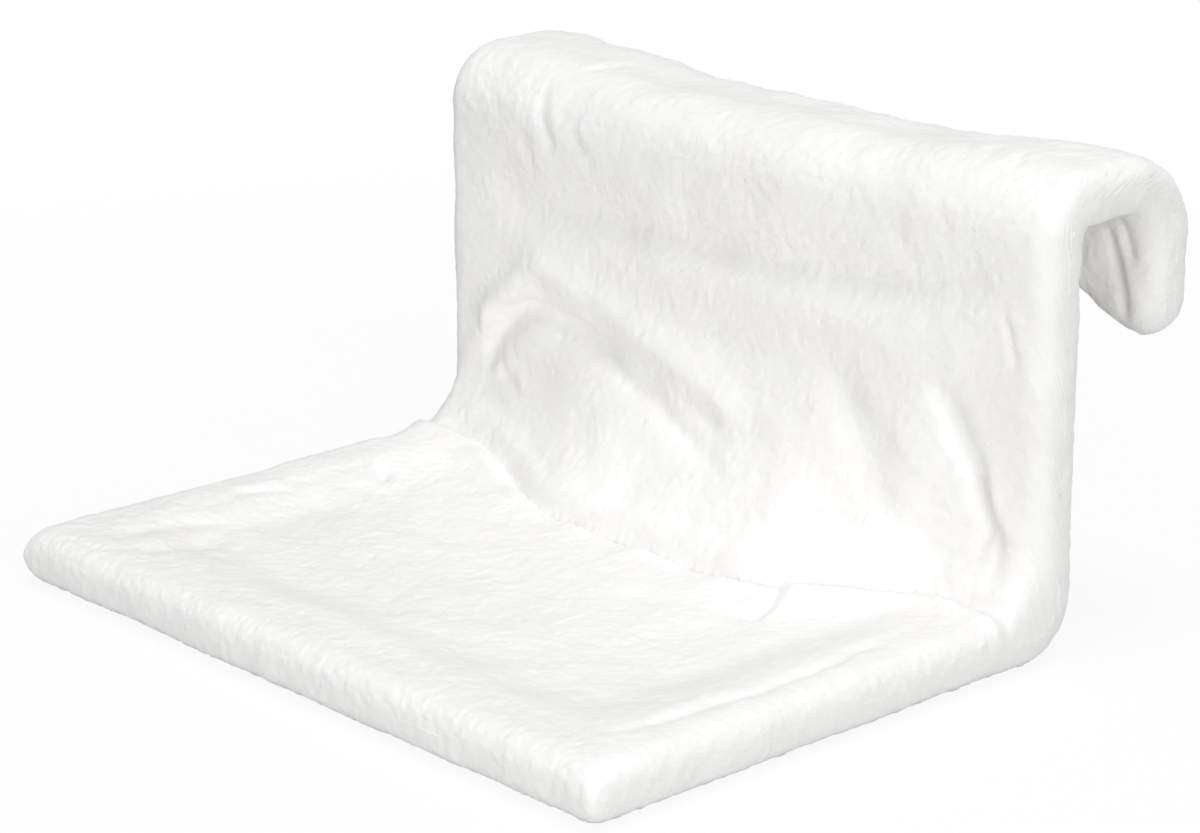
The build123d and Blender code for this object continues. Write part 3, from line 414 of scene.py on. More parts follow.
# Wrinkles of the cloth: a path, a depth, a half width, and the height of the lip on its left.
# Paths lie in X and Y on the seat, and in X and Z on the upright faces.
SEAT_WRINKLES = [
    ([(190, -190), (198, -157), (201, -123), (203, -86), (202, -45), (202, 2), (198, 40)],
     1.8, 3.5, 0.5),
    ([(-186, -168), (-190, -120), (-188, -60), (-186, 0), (-184, 46)], 0.8, 5.0, 0.3),
    ([(-170, -186), (-150, -170), (-152, -140), (-158, -112)], 1.6, 7.0, 0.6),
    ([(-150, -150), (-128, -144), (-104, -146)], 0.9, 4.0, 0.5),
    ([(-196, -86), (-188, -70), (-178, -50)], 1.2, 4.0, 0.6),
    ([(-200, -196), (-180, -196), (-160, -190)], 1.2, 5.0, 0.4),
    ([(150, 44), (176, 50), (200, 54)], 1.8, 8.0, 0.6),
    ([(99, 46), (104, 32), (111, 14), (122, -10)], 2.4, 4.5, 0.9),
    ([(-178, -186), (-180, -140), (-170, -104)], 1.8, 7.0, 0.5),
    ([(-152, -64), (-108, -40), (-57, -24), (15, -56), (70, -84)], 1.0, 13.0, 0.4),
    ([(-60, -176), (0, -172), (70, -180)], 0.7, 7.0, 0.4),
    ([(40, -40), (80, -10), (132, 6)], 0.6, 9.0, 0.4),
    ([(-110, -70), (-60, -30), (-30, 10)], 0.5, 10.0, 0.3),
]
FACE_WRINKLES = [
    ([(-206, 40), (-202, 54), (-190, 81), (-174, 101), (-157, 109),
      (-136, 109), (-107, 101), (-63, 88), (-10, 70), (52, 50)], 3.2, 4.8, 2.4),
    ([(-184, 92), (-181, 78), (-175, 64), (-153, 54)], 1.3, 3.5, 0.8),
    ([(-200, 50), (-178, 60), (-150, 54)], 0.9, 3.0, 0.6),
    ([(140, 138), (159, 118), (171, 100), (184, 82), (196, 62), (202, 34)], 3.4, 4.8, 2.0),
    ([(60, 146), (82, 123), (104, 96), (132, 65), (162, 44), (200, 34)], 2.6, 10.0, 1.6),
    ([(196, 184), (201, 169), (207, 142)], 1.0, 3.0, 0.6),
    ([(-146, 236), (-141, 218), (-130, 196)], 1.3, 4.5, 0.9),
    ([(-158, 214), (-154, 196), (-150, 178)], 0.9, 4.5, 0.6),
    ([(-118, 218), (-108, 200), (-94, 190)], 0.8, 4.5, 0.5),
    ([(170, 174), (110, 173), (60, 173), (-34, 172), (-100, 170), (-180, 164)], 3.8, 11.0, 3.0),
    ([(120, 214), (126, 196), (140, 184)], 0.7, 5.0, 0.4),
    ([(-40, 140), (0, 128), (48, 116)], 0.6, 9.0, 0.5),
    ([(-120, 74), (-90, 60), (-52, 40)], 0.8, 7.0, 0.6),
    ([(30, 96), (46, 70), (64, 46)], 0.9, 8.0, 0.6),
]
TOP_WRINKLES = [
    ([(168, 118), (160, 126), (156, 138)], 1.0, 3.0, 0.6),
    ([(184, 112), (178, 122), (176, 132)], 1.0, 3.0, 0.6),
    ([(-128, 112), (-122, 126), (-124, 144)], 1.0, 4.0, 0.6),
    ([(-40, 150), (0, 158), (60, 154)], 0.8, 8.0, 0.4),
]
LEG_WRINKLES = [
    ([(193, 210), (196, 198), (200, 188), (205, 172), (208, 156)], 3.4, 3.4, 1.6),
    ([(203, 214), (207, 200), (212, 186)], 1.6, 2.6, 0.6),
    ([(150, 200), (140, 190), (128, 186)], 1.2, 5.0, 0.8),
    ([(60, 202), (40, 192), (10, 190)], 1.0, 6.0, 0.6),
    ([(-120, 202), (-150, 188), (-172, 180)], 1.4, 5.0, 0.8),
]


# Share of a wrinkle's length in which it fades out, and its lip's place, spread and reach in half
# widths of the groove
WRINKLE_FADE = 0.3
LIP_PLACE, LIP_SPREAD, LIP_REACH = 2, 1.4, 6


def wrinkle(a, b, path, depth, half_width, lip):
    """A groove along a path through points given by two coordinates, fading out at both ends.
    A lip is raised on the left of the path."""
    path = np.array(path, float)
    lengths = np.hypot(*np.diff(path, axis=0).T)
    before = np.r_[0, np.cumsum(lengths)]
    nearest = np.full(a.shape, np.inf)
    side = np.zeros(a.shape)
    along = np.zeros(a.shape)
    for (pa, pb), (qa, qb), length, start in zip(path[:-1], path[1:], lengths, before):
        ta, tb = (qa - pa) / length, (qb - pb) / length
        t = np.clip((a - pa) * ta + (b - pb) * tb, 0, length)
        da, db = a - pa - t * ta, b - pb - t * tb
        away = np.hypot(da, db)
        closer = away < nearest
        nearest = np.where(closer, away, nearest)
        side = np.where(closer, np.sign(ta * db - tb * da) * away, side)
        along = np.where(closer, (start + t) / before[-1], along)
    fade = smooth(np.minimum(along, 1 - along) / WRINKLE_FADE)
    groove = -depth * bell(nearest / half_width)
    raised = lip * bell((side - LIP_PLACE * half_width) / (LIP_SPREAD * half_width))
    return (groove + raised * (nearest < LIP_REACH * half_width)) * fade


def wrinkles(points, paths, first, second, share):
    """All the wrinkles of a table, in the plane of two of the coordinates."""
    wander = layers(points, WRINKLE_WANDER)
    a, b = points[:, first] + wander, points[:, second] + wander
    return share * sum(wrinkle(a, b, *path) for path in paths)


# The stitched crease, the lips on both sides of it and the puckers on the seat
CREASE_DEPTH, CREASE_SPREAD = 1.9, 3.2
STITCH_DEPTH, STITCH_LENGTH = 0.35, 6.5
CREASE_END, CREASE_END_RUN = CAVITY + 18, 20
CREASE_CLEAR = 8.0
SEAT_LIP_LIFT, SEAT_LIP_AWAY, SEAT_LIP_SPREAD = 2.3, 8.5, 4.6
BACK_LIP_LIFT, BACK_LIP_AWAY, BACK_LIP_SPREAD, BACK_LIP_END = 2.2, 9.5, 5.0, CAVITY + 10
PUCKER_LENGTH, PUCKER_AWAY, PUCKER_SPREAD = 9.0, 12, 12.0

# The dimple on the seat's left rim: its middle, how far it slants, its spread and its depth. The
# swell round it has its place and spread in shares of the dimple's own spread.
DIMPLE_X, DIMPLE_Y, DIMPLE_SLANT = -172, -86, 0.5
DIMPLE_SPREAD_X, DIMPLE_SPREAD_Y, DIMPLE_DEPTH = 5.5, 3.4, 5.0
SWELL_PLACE, SWELL_SPREAD, SWELL_LIFT = 2.4, 1.2, 1.2

# Where the detail of each part of the cover begins or ends, each with the length over which it
# fades: at the front edge, above the crease, below the top, on the top, on the hook's leg seen
# from outside and from inside, above the zip and on the underside
FRONT_CLEAR, FRONT_RUN = 4, 10
SEAM_RUN = 6
FACE_Y, FACE_RUN = 118, 12
TOP_Y, TOP_RUN_Y, TOP_Z, TOP_RUN_Z = 96, 10, 205, 12
OUTER_LEG_Y, OUTER_LEG_RUN = 165, 12
LEG_Y, LEG_RUN = 160, 10
PAST_BACK_Y = 126
ABOVE_ZIP_Z, ABOVE_ZIP_RUN = 72, 24
UNDER_RUN = 30

# A swell on the top at its left rear corner, a pad inside the hook between its grooves, and a hem
# along the zip
CORNER_X, CORNER_Y, CORNER_LIFT, CORNER_SPREAD = -196, 186, 2.6, 14
PAD_X, PAD_Z, PAD_LIFT, PAD_SPREAD_X, PAD_SPREAD_Z = 180, 184, 3.0, 14, 18
HEM_LIFT, HEM_AWAY, HEM_SPREAD = 0.8, 5, 3.0


def crease_dip(x, away):
    """Depth of the stitched crease, the same on both panels where they meet."""
    stitches = STITCH_DEPTH * np.cos(2 * np.pi * x / STITCH_LENGTH)
    depth = CREASE_DEPTH + stitches
    return -depth * bell(away / CREASE_SPREAD) * smooth((CREASE_END - np.abs(x)) / CREASE_END_RUN)


def seat_top_detail(points):
    x, y = points[:, 0], points[:, 1]
    front = smooth((y - FRONT_Y - FRONT_CLEAR) / FRONT_RUN)
    lift = wrinkles(points, SEAT_WRINKLES, 0, 1, front)
    slant_y = y + DIMPLE_SLANT * x
    dimple = np.hypot((x - DIMPLE_X) / DIMPLE_SPREAD_X, (slant_y - DIMPLE_Y) / DIMPLE_SPREAD_Y)
    swell = SWELL_LIFT * bell((dimple - SWELL_PLACE) / SWELL_SPREAD)
    lift += swell - DIMPLE_DEPTH * bell(dimple)
    # The cloth rises to a soft lip and is then drawn down to the crease, with small puckers
    to_seam = y - seam_y(x)
    lift += SEAT_LIP_LIFT * bell((to_seam + SEAT_LIP_AWAY) / SEAT_LIP_SPREAD)
    lift = lift * smooth(-to_seam / CREASE_CLEAR) + crease_dip(x, to_seam)
    pucker = np.sin(x / PUCKER_LENGTH + layers(points, PUCKER_SHIFT))
    lift += pucker * bell((to_seam + PUCKER_AWAY) / PUCKER_SPREAD)
    # The sunken middle is uneven
    inside = smooth((CAVITY - np.abs(x)) / SLACK_RUN) * smooth((y - FRONT_Y - EDGE) / SLACK_RUN)
    return lift + inside * layers(points, SEAT_UNEVEN)


def back_front_detail(points):
    x, y, z = points.T
    face = smooth((FACE_Y - y) / FACE_RUN) * smooth((z - seam_z(x)) / SEAM_RUN)
    lift = wrinkles(points, FACE_WRINKLES, 0, 2, face)
    # The other lip of the crease
    above_seam = z - seam_z(x)
    lip = BACK_LIP_LIFT * bell((above_seam - BACK_LIP_AWAY) / BACK_LIP_SPREAD)
    lift += face * lip * smooth((BACK_LIP_END - np.abs(x)) / CREASE_END_RUN)
    near_seam = np.hypot(above_seam, y - seam_y(x))
    lift = lift * smooth(near_seam / CREASE_CLEAR) + crease_dip(x, near_seam)
    # The top, with the swell at its corner
    top = smooth((y - TOP_Y) / TOP_RUN_Y) * smooth((z - TOP_Z) / TOP_RUN_Z)
    lift += wrinkles(points, TOP_WRINKLES, 0, 1, top)
    from_corner = np.hypot(x - CORNER_X, y - CORNER_Y)
    lift += CORNER_LIFT * bell(from_corner / CORNER_SPREAD) * top
    # Between the tubes the cloth is uneven, and down the hook's leg everywhere
    slack = smooth((CAVITY - np.abs(x)) / SLACK_RUN)
    leg = smooth((y - OUTER_LEG_Y) / OUTER_LEG_RUN)
    lift += slack * (face + top + leg).clip(0, 1) * layers(points, FACE_UNEVEN)
    return lift + leg * layers(points, LEG_UNEVEN)


def back_rear_detail(points):
    x, y, z = points.T
    leg = smooth((y - LEG_Y) / LEG_RUN)
    lift = wrinkles(points, LEG_WRINKLES, 0, 2, leg)
    pad = bell(np.hypot((x - PAD_X) / PAD_SPREAD_X, (z - PAD_Z) / PAD_SPREAD_Z))
    lift += leg * PAD_LIFT * pad
    to_zip = np.abs(z - ZIP_Z) - ZIP_GROOVE / 2
    on_back = (y < PAST_BACK_Y) * (np.abs(x) < ZIP_HALF)
    lift += HEM_LIFT * bell((to_zip - HEM_AWAY) / HEM_SPREAD) * on_back
    above_zip = smooth((z - ABOVE_ZIP_Z) / ABOVE_ZIP_RUN) * (y < LEG_Y)
    slack = smooth((CAVITY - np.abs(x)) / SLACK_RUN) * above_zip
    lift += slack * layers(points, REAR_UNEVEN)
    return lift + leg * layers(points, LEG_UNEVEN)


def seat_under_detail(points):
    return layers(points, UNDER_UNEVEN) * smooth((CAVITY - np.abs(points[:, 0])) / UNDER_RUN)


def towards(normals, wanted, depth):
    """Turn the normals beside an edge step by step to the direction the edge itself lifts in."""
    for i in range(depth):
        share = 1 - i / depth
        normals[i] = normals[i] * (1 - share) + np.array(wanted) * share
        normals[i] /= np.linalg.norm(normals[i], axis=1, keepdims=True)


def panel(name, line_at, detail, ends, spacing, outward, material):
    """A closed piece of padded cloth: a fine outer face with its pile, and a plain inner face."""
    xs = stations(spacing)
    middle = line_at(0.0)
    length = np.hypot(*np.diff(middle, axis=0).T).sum()
    count = int(length / spacing)
    count += (1 - count) % INNER_STEP
    lines = [resampled(line_at(x), count) for x in xs]
    grid = np.array([np.c_[np.full(count, x), p] for x, p in zip(xs, lines)])
    normals = grid_normals(grid) * outward
    across = normals.transpose(1, 0, 2)
    for rows, wanted in zip((across, across[::-1]), ends):
        towards(rows, wanted, END_TURN)
    towards(normals, (-1.0, 0.0, 0.0), SIDE_TURN)
    towards(normals[::-1], (1.0, 0.0, 0.0), SIDE_TURN)
    # The inner face keeps clear of the tubes in the edges, and stays behind the rim at the sides
    beyond = np.maximum(0.0, np.abs(xs) - TUBE_X)
    inwards = beyond * RIM_SETBACK
    room = np.sqrt(np.maximum(0.0, TUBE_ROOM**2 - (beyond - inwards) ** 2))
    depth = (edge_height(xs) - room)[:, None, None]
    depth = np.maximum(depth, THINNEST)
    flat = flat_normals(grid) * outward
    inner = (grid - flat * depth)[:, ::INNER_STEP]
    inner[:, :, 0] -= (np.sign(xs) * inwards)[:, None]
    # Both panels of a seam lift by the same amount there, so the place is taken before the tuck
    points = grid.reshape(-1, 3).copy()
    # The edges tuck in under the neighbouring panel, so that no gap shows at a seam
    for a, b in ((0, 1), (-1, -2)):
        out = grid[:, a] - grid[:, b]
        grid[:, a] += out / np.linalg.norm(out, axis=1, keepdims=True) * TUCK
        grid[a] -= flat[a] * TUCK
    over_rim = np.repeat(np.minimum(1.0, edge_height(xs) / FULL_DETAIL), count)
    lift = pile_displacement(points) + detail(points) * over_rim
    outer = grid + normals * lift.reshape(grid.shape[:2])[:, :, None]
    # The pile is pressed flat where the bed stands
    outer[:, :, 2] = np.maximum(outer[:, :, 2], 0.0)
    return grid_piece(name, outer, inner, outward, material)


def flat_normals(grid):
    """Normals in the plane of each station, which has no share along X."""
    dv = np.gradient(grid, axis=1)
    n = np.stack([np.zeros(dv.shape[:2]), dv[:, :, 2], -dv[:, :, 1]], axis=2)
    return -n / np.maximum(np.linalg.norm(n, axis=2, keepdims=True), 1e-9)


def grid_piece(name, outer, inner, outward, material):
    """One closed mesh from the outer and the inner face, with strips between their borders."""
    rows, count = outer.shape[:2]
    few = inner.shape[1]
    base = rows * count
    vertices = np.vstack([outer.reshape(-1, 3), inner.reshape(-1, 3)])
    i, j = np.meshgrid(np.arange(rows - 1), np.arange(count - 1), indexing="ij")
    a = (i * count + j).ravel()
    quads = np.c_[a, a + count, a + count + 1, a + 1]
    i, j = np.meshgrid(np.arange(rows - 1), np.arange(few - 1), indexing="ij")
    b = (base + i * few + j).ravel()
    inside = np.c_[b, b + 1, b + few + 1, b + few]
    k = np.arange(rows - 1)
    first = np.c_[k * count, base + k * few, base + (k + 1) * few, (k + 1) * count]
    outer_end, inner_end = k * count + count - 1, base + k * few + few - 1
    last = np.c_[outer_end, outer_end + count, inner_end + few, inner_end]
    faces = np.vstack([quads, inside, first, last])
    if outward < 0:
        faces = faces[:, ::-1]
    faces = faces.tolist()
    # At the sides every stretch of the fine border fans in to the nearer of two inner points
    half = INNER_STEP // 2
    for row, flip in ((0, False), (rows - 1, True)):
        for j in range(few - 1):
            start, near = row * count + j * INNER_STEP, base + row * few + j
            fan = [(start + m, start + m + 1, near + (m >= half)) for m in range(INNER_STEP)]
            fan.append((start + half, near + 1, near))
            if flip != (outward < 0):
                fan = [corners[::-1] for corners in fan]
            faces += fan
    piece = mesh_object(name, vertices, faces, material)
    bake_map(piece.data, rows, count, few, len(quads), len(quads) + len(inside), rows - 1)
    return piece


# Height in the map of the outer face, of the inner face and of each strip, and the map's margin
OUTER_MAP, INNER_MAP = (0.0, 0.86), (0.88, 0.05)
FIRST_MAP, LAST_MAP, LEFT_MAP, RIGHT_MAP = 0.94, 0.95, 0.965, 0.98
STRIP_MAP, MAP_MARGIN = 0.005, 0.005


def bake_map(mesh, rows, count, few, outer_end, inner_end, strip_count):
    """Unfold the piece: outer face, inner face, the two end strips and the two side strips."""
    vertex = np.empty(len(mesh.loops), int)
    mesh.loops.foreach_get("vertex_index", vertex)
    sides = np.empty(len(mesh.polygons), int)
    mesh.polygons.foreach_get("loop_total", sides)
    face = np.repeat(np.arange(len(sides)), sides)
    is_outer = vertex < rows * count
    from_first = np.where(is_outer, vertex, vertex - rows * count)
    per_row = np.where(is_outer, count, few)
    row = (from_first // per_row) / (rows - 1)
    along = (from_first % per_row) / (per_row - 1)
    step = np.where(is_outer, 0.0, STRIP_MAP)
    first_end, last_end = inner_end + strip_count, inner_end + 2 * strip_count
    bands = [face < outer_end, face < inner_end, face < first_end, face < last_end, row < 0.5]
    across = np.select(bands, [row, row, row, row, along], along)
    faces_up = [low + along * height for low, height in (OUTER_MAP, INNER_MAP)]
    strips_up = [low + step for low in (FIRST_MAP, LAST_MAP, LEFT_MAP)]
    up = np.select(bands, faces_up + strips_up, RIGHT_MAP + step)
    layer = mesh.uv_layers.new(name="OFBake")
    uv = MAP_MARGIN + np.c_[across, up] * (1 - 2 * MAP_MARGIN)
    layer.data.foreach_set("uv", uv.astype(np.float32).ravel())


# Materials
def new_material(name):
    material = bpy.data.materials.new(name)
    material.use_nodes = True
    tree = material.node_tree
    return material, tree, tree.nodes["Principled BSDF"]


def add_noise(tree, scale, detail=3.0, roughness=0.5):
    """A noise texture in object coordinates; its scale is in cells per metre."""
    place = tree.nodes.get("Place") or tree.nodes.new("ShaderNodeTexCoord")
    place.name = "Place"
    node = tree.nodes.new("ShaderNodeTexNoise")
    node.inputs["Scale"].default_value = scale
    node.inputs["Detail"].default_value = detail
    node.inputs["Roughness"].default_value = roughness
    tree.links.new(place.outputs["Object"], node.inputs["Vector"])
    return node


def ramp(tree, source, stops):
    """A colour ramp; each stop is a position and a colour, or one level of grey."""
    node = tree.nodes.new("ShaderNodeValToRGB")
    elements = node.color_ramp.elements
    while len(elements) < len(stops):
        elements.new(0.5)
    for element, (position, colour) in zip(elements, stops):
        element.position = position
        element.color = (*colour, 1.0) if isinstance(colour, tuple) else (colour,) * 3 + (1.0,)
    tree.links.new(source, node.inputs["Fac"])
    return node


def bump(tree, source, strength, distance, before=None):
    """Fine relief, on top of that of another bump node if one is given."""
    node = tree.nodes.new("ShaderNodeBump")
    node.inputs["Strength"].default_value = strength
    node.inputs["Distance"].default_value = distance
    tree.links.new(source, node.inputs["Height"])
    if before is not None:
        tree.links.new(before.outputs["Normal"], node.inputs["Normal"])
    return node


def plush_material():
    """White pile: two whites in broad patches, and the relief of tufts and of hairs."""
    material, tree, shader = new_material("white_plush")
    broad = add_noise(tree, scale=22.0)
    duller, whiter = (0.93, 0.922, 0.915), (0.955, 0.95, 0.942)
    colour = ramp(tree, broad.outputs["Fac"], [(0.35, duller), (0.65, whiter)])
    tree.links.new(colour.outputs["Color"], shader.inputs["Base Color"])
    tufts = add_noise(tree, scale=420.0, detail=4.0, roughness=0.6)
    hairs = add_noise(tree, scale=1500.0, detail=2.0, roughness=0.6)
    first = bump(tree, tufts.outputs["Fac"], strength=0.3, distance=0.001)
    second = bump(tree, hairs.outputs["Fac"], strength=0.5, distance=0.0006, before=first)
    tree.links.new(second.outputs["Normal"], shader.inputs["Normal"])
    rough = ramp(tree, tufts.outputs["Fac"], [(0.3, 0.86), (0.7, 0.97)])
    tree.links.new(rough.outputs["Color"], shader.inputs["Roughness"])
    shader.inputs["Sheen Weight"].default_value = 0.25
    shader.inputs["Sheen Roughness"].default_value = 0.5
    shader.inputs["Specular IOR Level"].default_value = 0.15
    return material


def hard_material(name, colour, roughness, scale, metallic=1.0):
    """A bare metal, or with metallic=0 a paint or a plastic, with a fine grain."""
    material, tree, shader = new_material(name)
    grain = add_noise(tree, scale, detail=4.0)
    dark = tuple(c * 0.93 for c in colour)
    tint = ramp(tree, grain.outputs["Fac"], [(0.3, dark), (0.7, colour)])
    tree.links.new(tint.outputs["Color"], shader.inputs["Base Color"])
    spread = ramp(tree, grain.outputs["Fac"], [(0.3, roughness), (0.7, roughness + 0.12)])
    tree.links.new(spread.outputs["Color"], shader.inputs["Roughness"])
    shader.inputs["Metallic"].default_value = metallic
    relief = bump(tree, grain.outputs["Fac"], strength=0.15, distance=0.0002)
    tree.links.new(relief.outputs["Normal"], shader.inputs["Normal"])
    return material


def cloth_material(name, colour, scale):
    """A plain woven tape: two crossed sets of ribs."""
    material, tree, shader = new_material(name)
    place = tree.nodes.new("ShaderNodeTexCoord")
    waves = []
    for axis in ("X", "Z"):
        wave = tree.nodes.new("ShaderNodeTexWave")
        wave.bands_direction = axis
        wave.inputs["Scale"].default_value = scale
        wave.inputs["Distortion"].default_value = 0.6
        tree.links.new(place.outputs["Object"], wave.inputs["Vector"])
        waves.append(wave)
    both = tree.nodes.new("ShaderNodeMath")
    both.operation = "MULTIPLY"
    tree.links.new(waves[0].outputs["Fac"], both.inputs[0])
    tree.links.new(waves[1].outputs["Fac"], both.inputs[1])
    dark = tuple(c * 0.86 for c in colour)
    tint = ramp(tree, both.outputs[0], [(0.0, dark), (0.7, colour)])
    tree.links.new(tint.outputs["Color"], shader.inputs["Base Color"])
    relief = bump(tree, both.outputs[0], strength=0.5, distance=0.0004)
    tree.links.new(relief.outputs["Normal"], shader.inputs["Normal"])
    shader.inputs["Roughness"].default_value = 0.85
    return material


def fleece_material():
    """Loose white fibres."""
    material, tree, shader = new_material("fleece_wadding")
    fibres = add_noise(tree, scale=260.0, detail=6.0, roughness=0.7)
    tint = ramp(tree, fibres.outputs["Fac"], [(0.3, 0.82), (0.7, 0.95)])
    tree.links.new(tint.outputs["Color"], shader.inputs["Base Color"])
    relief = bump(tree, fibres.outputs["Fac"], strength=0.8, distance=0.002)
    tree.links.new(relief.outputs["Normal"], shader.inputs["Normal"])
    shader.inputs["Roughness"].default_value = 0.95
    return material


plush = plush_material()
fleece = fleece_material()
paint = hard_material("white_powder_coat", (0.86, 0.86, 0.85), 0.35, 900.0, metallic=0.0)
zinc = hard_material("zinc_plate", (0.72, 0.72, 0.7), 0.3, 600.0)
spring = hard_material("spring_steel", (0.45, 0.45, 0.46), 0.35, 700.0)
nylon = hard_material("black_nylon", (0.2, 0.2, 0.2), 0.5, 500.0, metallic=0.0)
enamel = hard_material("white_enamel", (0.88, 0.88, 0.87), 0.25, 500.0, metallic=0.0)
tape = cloth_material("zip_tape_weave", (0.9, 0.9, 0.89), 900.0)

# The finish of each CAD node that stays visible
finishes = {
    "hook_tube": paint, "seat_tube": paint, "seat_crossbar": paint, "hook_tube_caps": nylon,
    "crossbar_plugs": nylon, "crossbar_screws": zinc, "saddle_washers": zinc,
    "left_snap_button": zinc, "right_snap_button": zinc,
    "left_button_spring": spring, "right_button_spring": spring,
    "zip_tape_upper": tape, "zip_tape_lower": tape,
    "zip_stops": enamel, "zip_slider": enamel, "zip_pull": enamel,
}
for node, material in finishes.items():
    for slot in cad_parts[node].material_slots:
        slot.material = material

# The four plush panels: name and node, line and detail, the directions in which the two ends lift,
# spacing of the points, and the side of the grid that faces outwards
FORWARD, REARWARD, DOWN = (0.0, -1.0, 0.0), (0.0, 1.0, 0.0), (0.0, 0.0, -1.0)
CREASE = (0.0, -0.6, 0.8)
panels = [
    ("seat_top_plush", "seat_top_panel",
     seat_top_line, seat_top_detail, (FORWARD, CREASE), 1.16, 1),
    ("seat_under_plush", "seat_under_panel",
     seat_under_line, seat_under_detail, (FORWARD, REARWARD), 1.5, -1),
    ("back_front_plush", "back_front_panel",
     back_front_line, back_front_detail, (CREASE, DOWN), 1.54, 1),
    ("back_rear_plush", "back_rear_panel",
     back_rear_line, back_rear_detail, (REARWARD, DOWN), 1.3, -1),
]
for name, node, line_at, detail, ends, spacing, outward in panels:
    piece = panel(name, line_at, detail, ends, spacing, outward, plush)
    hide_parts(node)
    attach(piece, "bed")


# The two waddings inside the cover: size of the remeshing in metres, and how far their uneven
# surface stays inside the solid on average
FLEECE_VOXEL = 0.003
FLEECE_INSET = 0.5


def wadding(name, node):
    """A copy of the CAD node's mesh, made even and then uneven on its surface."""
    piece = link(bpy.data.objects.new(name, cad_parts[node].data.copy()))
    remesh = piece.modifiers.new("even", "REMESH")
    remesh.mode = "VOXEL"
    remesh.voxel_size = FLEECE_VOXEL
    bpy.context.view_layer.update()
    graph = bpy.context.evaluated_depsgraph_get()
    mesh = bpy.data.meshes.new_from_object(piece.evaluated_get(graph))
    piece.modifiers.clear()
    piece.data = mesh
    places = np.empty(len(mesh.vertices) * 3, np.float32)
    mesh.vertices.foreach_get("co", places)
    normals = np.empty(len(mesh.vertices) * 3, np.float32)
    mesh.vertex_normals.foreach_get("vector", normals)
    places, normals = places.reshape(-1, 3).astype(float), normals.reshape(-1, 3)
    lift = layers(places / MM, FLEECE_UNEVEN) - FLEECE_INSET
    places += normals * lift[:, None] * MM
    mesh.vertices.foreach_set("co", places.astype(np.float32).ravel())
    mesh.shade_smooth()
    mesh.materials.clear()
    mesh.materials.append(fleece)
    mesh.update()
    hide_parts(node)
    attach(piece, "bed")


wadding("seat_fleece", "seat_wadding")
wadding("back_fleece", "back_wadding")


# Floor, light and camera, in metres. The floor is pale to the eye, and less so for the light that
# it throws back up at the bed. Away from the bed it fades into pure white.
FLOOR_REACH, FLOOR_Z = 60.0, -0.0004
FLOOR_BOUNCE, FLOOR_SEEN = (0.7, 0.7, 0.7, 1.0), (0.9, 0.9, 0.9, 1.0)
WHITE_NEAR, WHITE_FAR = 0.35, 1.2
WHITE_SHARE_NEAR, WHITE_SHARE_FAR = 0.9, 1.0
SKY_LIGHT, SKY_SEEN = 0.35, 1.0


def seen_by_eye(tree):
    """1 for rays of the camera and of glossy surfaces, 0 for light on its way between surfaces."""
    path = tree.nodes.new("ShaderNodeLightPath")
    seen = tree.nodes.new("ShaderNodeMath")
    seen.operation = "MAXIMUM"
    tree.links.new(path.outputs["Is Camera Ray"], seen.inputs[0])
    tree.links.new(path.outputs["Is Glossy Ray"], seen.inputs[1])
    return seen.outputs[0]


def floor_material():
    material, tree, shader = new_material("studio_floor")
    shader.inputs["Roughness"].default_value = 0.9
    shader.inputs["Specular IOR Level"].default_value = 0.0
    white = tree.nodes.new("ShaderNodeEmission")
    white.inputs["Strength"].default_value = 1.0
    seen = seen_by_eye(tree)
    # A mix node has its sockets for colours at these numbers, under names that it uses four times
    colour = tree.nodes.new("ShaderNodeMix")
    colour.data_type = "RGBA"
    colour.inputs[6].default_value = FLOOR_BOUNCE
    colour.inputs[7].default_value = FLOOR_SEEN
    tree.links.new(seen, colour.inputs[0])
    tree.links.new(colour.outputs[2], shader.inputs["Base Color"])
    place = tree.nodes.new("ShaderNodeTexCoord")
    away = tree.nodes.new("ShaderNodeVectorMath")
    away.operation = "LENGTH"
    tree.links.new(place.outputs["Object"], away.inputs[0])
    share = tree.nodes.new("ShaderNodeMapRange")
    share.inputs["From Min"].default_value = WHITE_NEAR
    share.inputs["From Max"].default_value = WHITE_FAR
    share.inputs["To Min"].default_value = WHITE_SHARE_NEAR
    share.inputs["To Max"].default_value = WHITE_SHARE_FAR
    tree.links.new(away.outputs["Value"], share.inputs["Value"])
    part = tree.nodes.new("ShaderNodeMath")
    part.operation = "MULTIPLY"
    tree.links.new(share.outputs["Result"], part.inputs[1])
    tree.links.new(seen, part.inputs[0])
    blend = tree.nodes.new("ShaderNodeMixShader")
    tree.links.new(part.outputs[0], blend.inputs["Fac"])
    tree.links.new(shader.outputs["BSDF"], blend.inputs[1])
    tree.links.new(white.outputs["Emission"], blend.inputs[2])
    out = tree.nodes["Material Output"]
    tree.links.new(blend.outputs["Shader"], out.inputs["Surface"])
    return material


floor_mesh = bpy.data.meshes.new("floor")
signs = ((-1, -1), (1, -1), (1, 1), (-1, 1))
corners = [(sx * FLOOR_REACH, sy * FLOOR_REACH, FLOOR_Z) for sx, sy in signs]
floor_mesh.from_pydata(corners, [], [(0, 1, 2, 3)])
floor_mesh.materials.append(floor_material())
floor = link(bpy.data.objects.new("floor", floor_mesh))

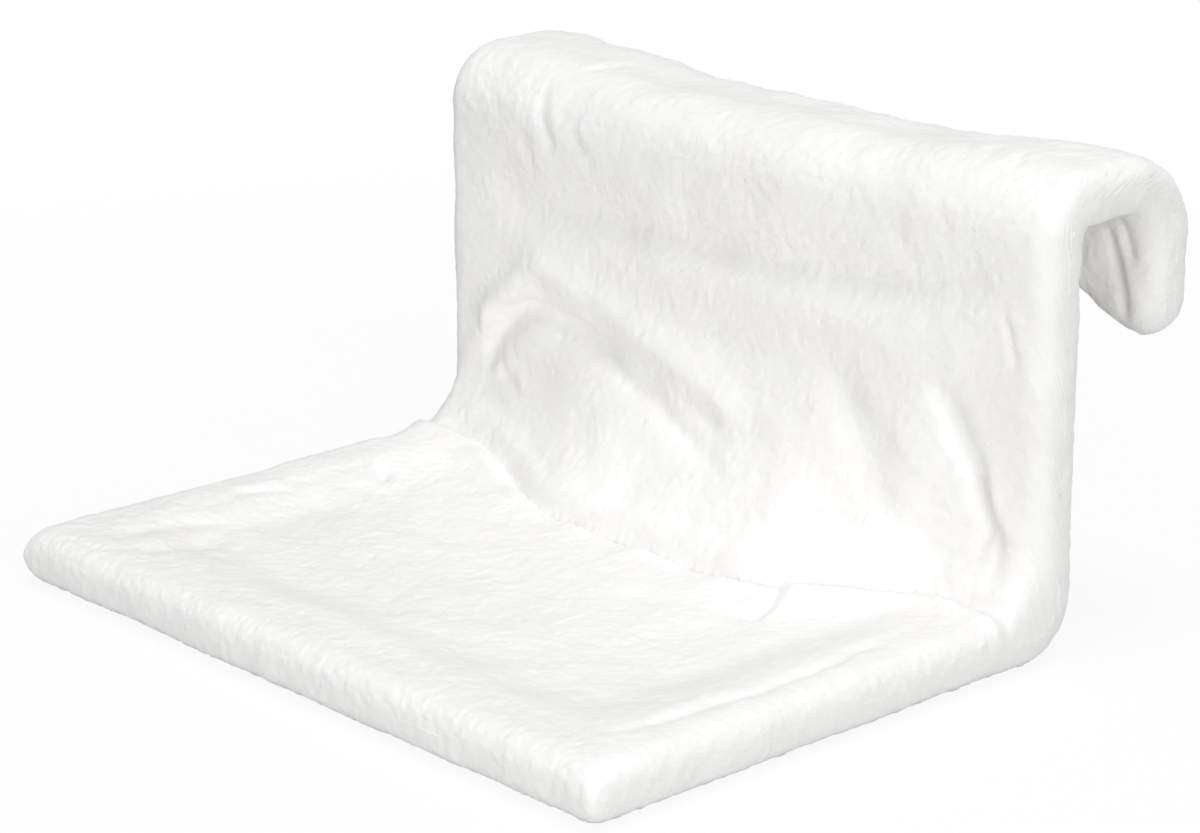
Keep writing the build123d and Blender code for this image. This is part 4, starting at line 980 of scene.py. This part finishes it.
world = bpy.data.worlds.new("studio")
bpy.context.scene.world = world
world.use_nodes = True
sky = world.node_tree
background = sky.nodes["Background"]
background.inputs["Color"].default_value = (1.0, 1.0, 1.0, 1.0)
level = sky.nodes.new("ShaderNodeMix")
level.data_type = "FLOAT"
level.inputs["A"].default_value = SKY_LIGHT
level.inputs["B"].default_value = SKY_SEEN
sky.links.new(seen_by_eye(sky), level.inputs["Factor"])
sky.links.new(level.outputs["Result"], background.inputs["Strength"])

# Large round lamps at one distance: name, direction from the bed and power
LAMP_DISTANCE, LAMP_SIZE = 2.6, 1.4
LOOK_AT = Vector((0.0, 0.0, 0.1))
lamps = [
    ("right", (0.9, -0.42, 0.28), 23.0),
    ("top", (0.1, 0.0, 1.0), 30.5),
    ("front", (0.1, -0.95, 0.3), 13.6),
    ("rear", (0.1, 0.95, 0.35), 5.0),
]
for name, direction, power in lamps:
    lamp_data = bpy.data.lights.new(name, "AREA")
    lamp_data.shape = "DISK"
    lamp_data.size = LAMP_SIZE
    lamp_data.energy = power
    lamp = link(bpy.data.objects.new(name, lamp_data))
    lamp.location = LOOK_AT + Vector(direction).normalized() * LAMP_DISTANCE
    lamp.rotation_euler = (LOOK_AT - lamp.location).to_track_quat("-Z", "Y").to_euler()

# The camera as it was fitted to the outline in the photograph: lens, place, and its own axes
SENSOR_WIDTH, LENS = 36.0, 107.454
CAMERA_PLACE = (1.30084, -1.17439, 0.64853)
CAMERA_RIGHT = Vector((0.67325791, 0.73939055, -0.00504003))
CAMERA_UP = Vector((-0.21808293, 0.20508099, 0.95413921))
camera_data = bpy.data.cameras.new("camera")
camera_data.sensor_width = SENSOR_WIDTH
camera_data.lens = LENS
camera_data.clip_start = 0.05
camera_data.clip_end = 200.0
camera = link(bpy.data.objects.new("camera", camera_data))
axes = Matrix((CAMERA_RIGHT, CAMERA_UP, CAMERA_RIGHT.cross(CAMERA_UP))).transposed()
camera.matrix_world = Matrix.Translation(CAMERA_PLACE) @ axes.to_4x4()
bpy.context.scene.camera = camera
bpy.context.scene.view_settings.view_transform = "Standard"

bpy.context.view_layer.update()
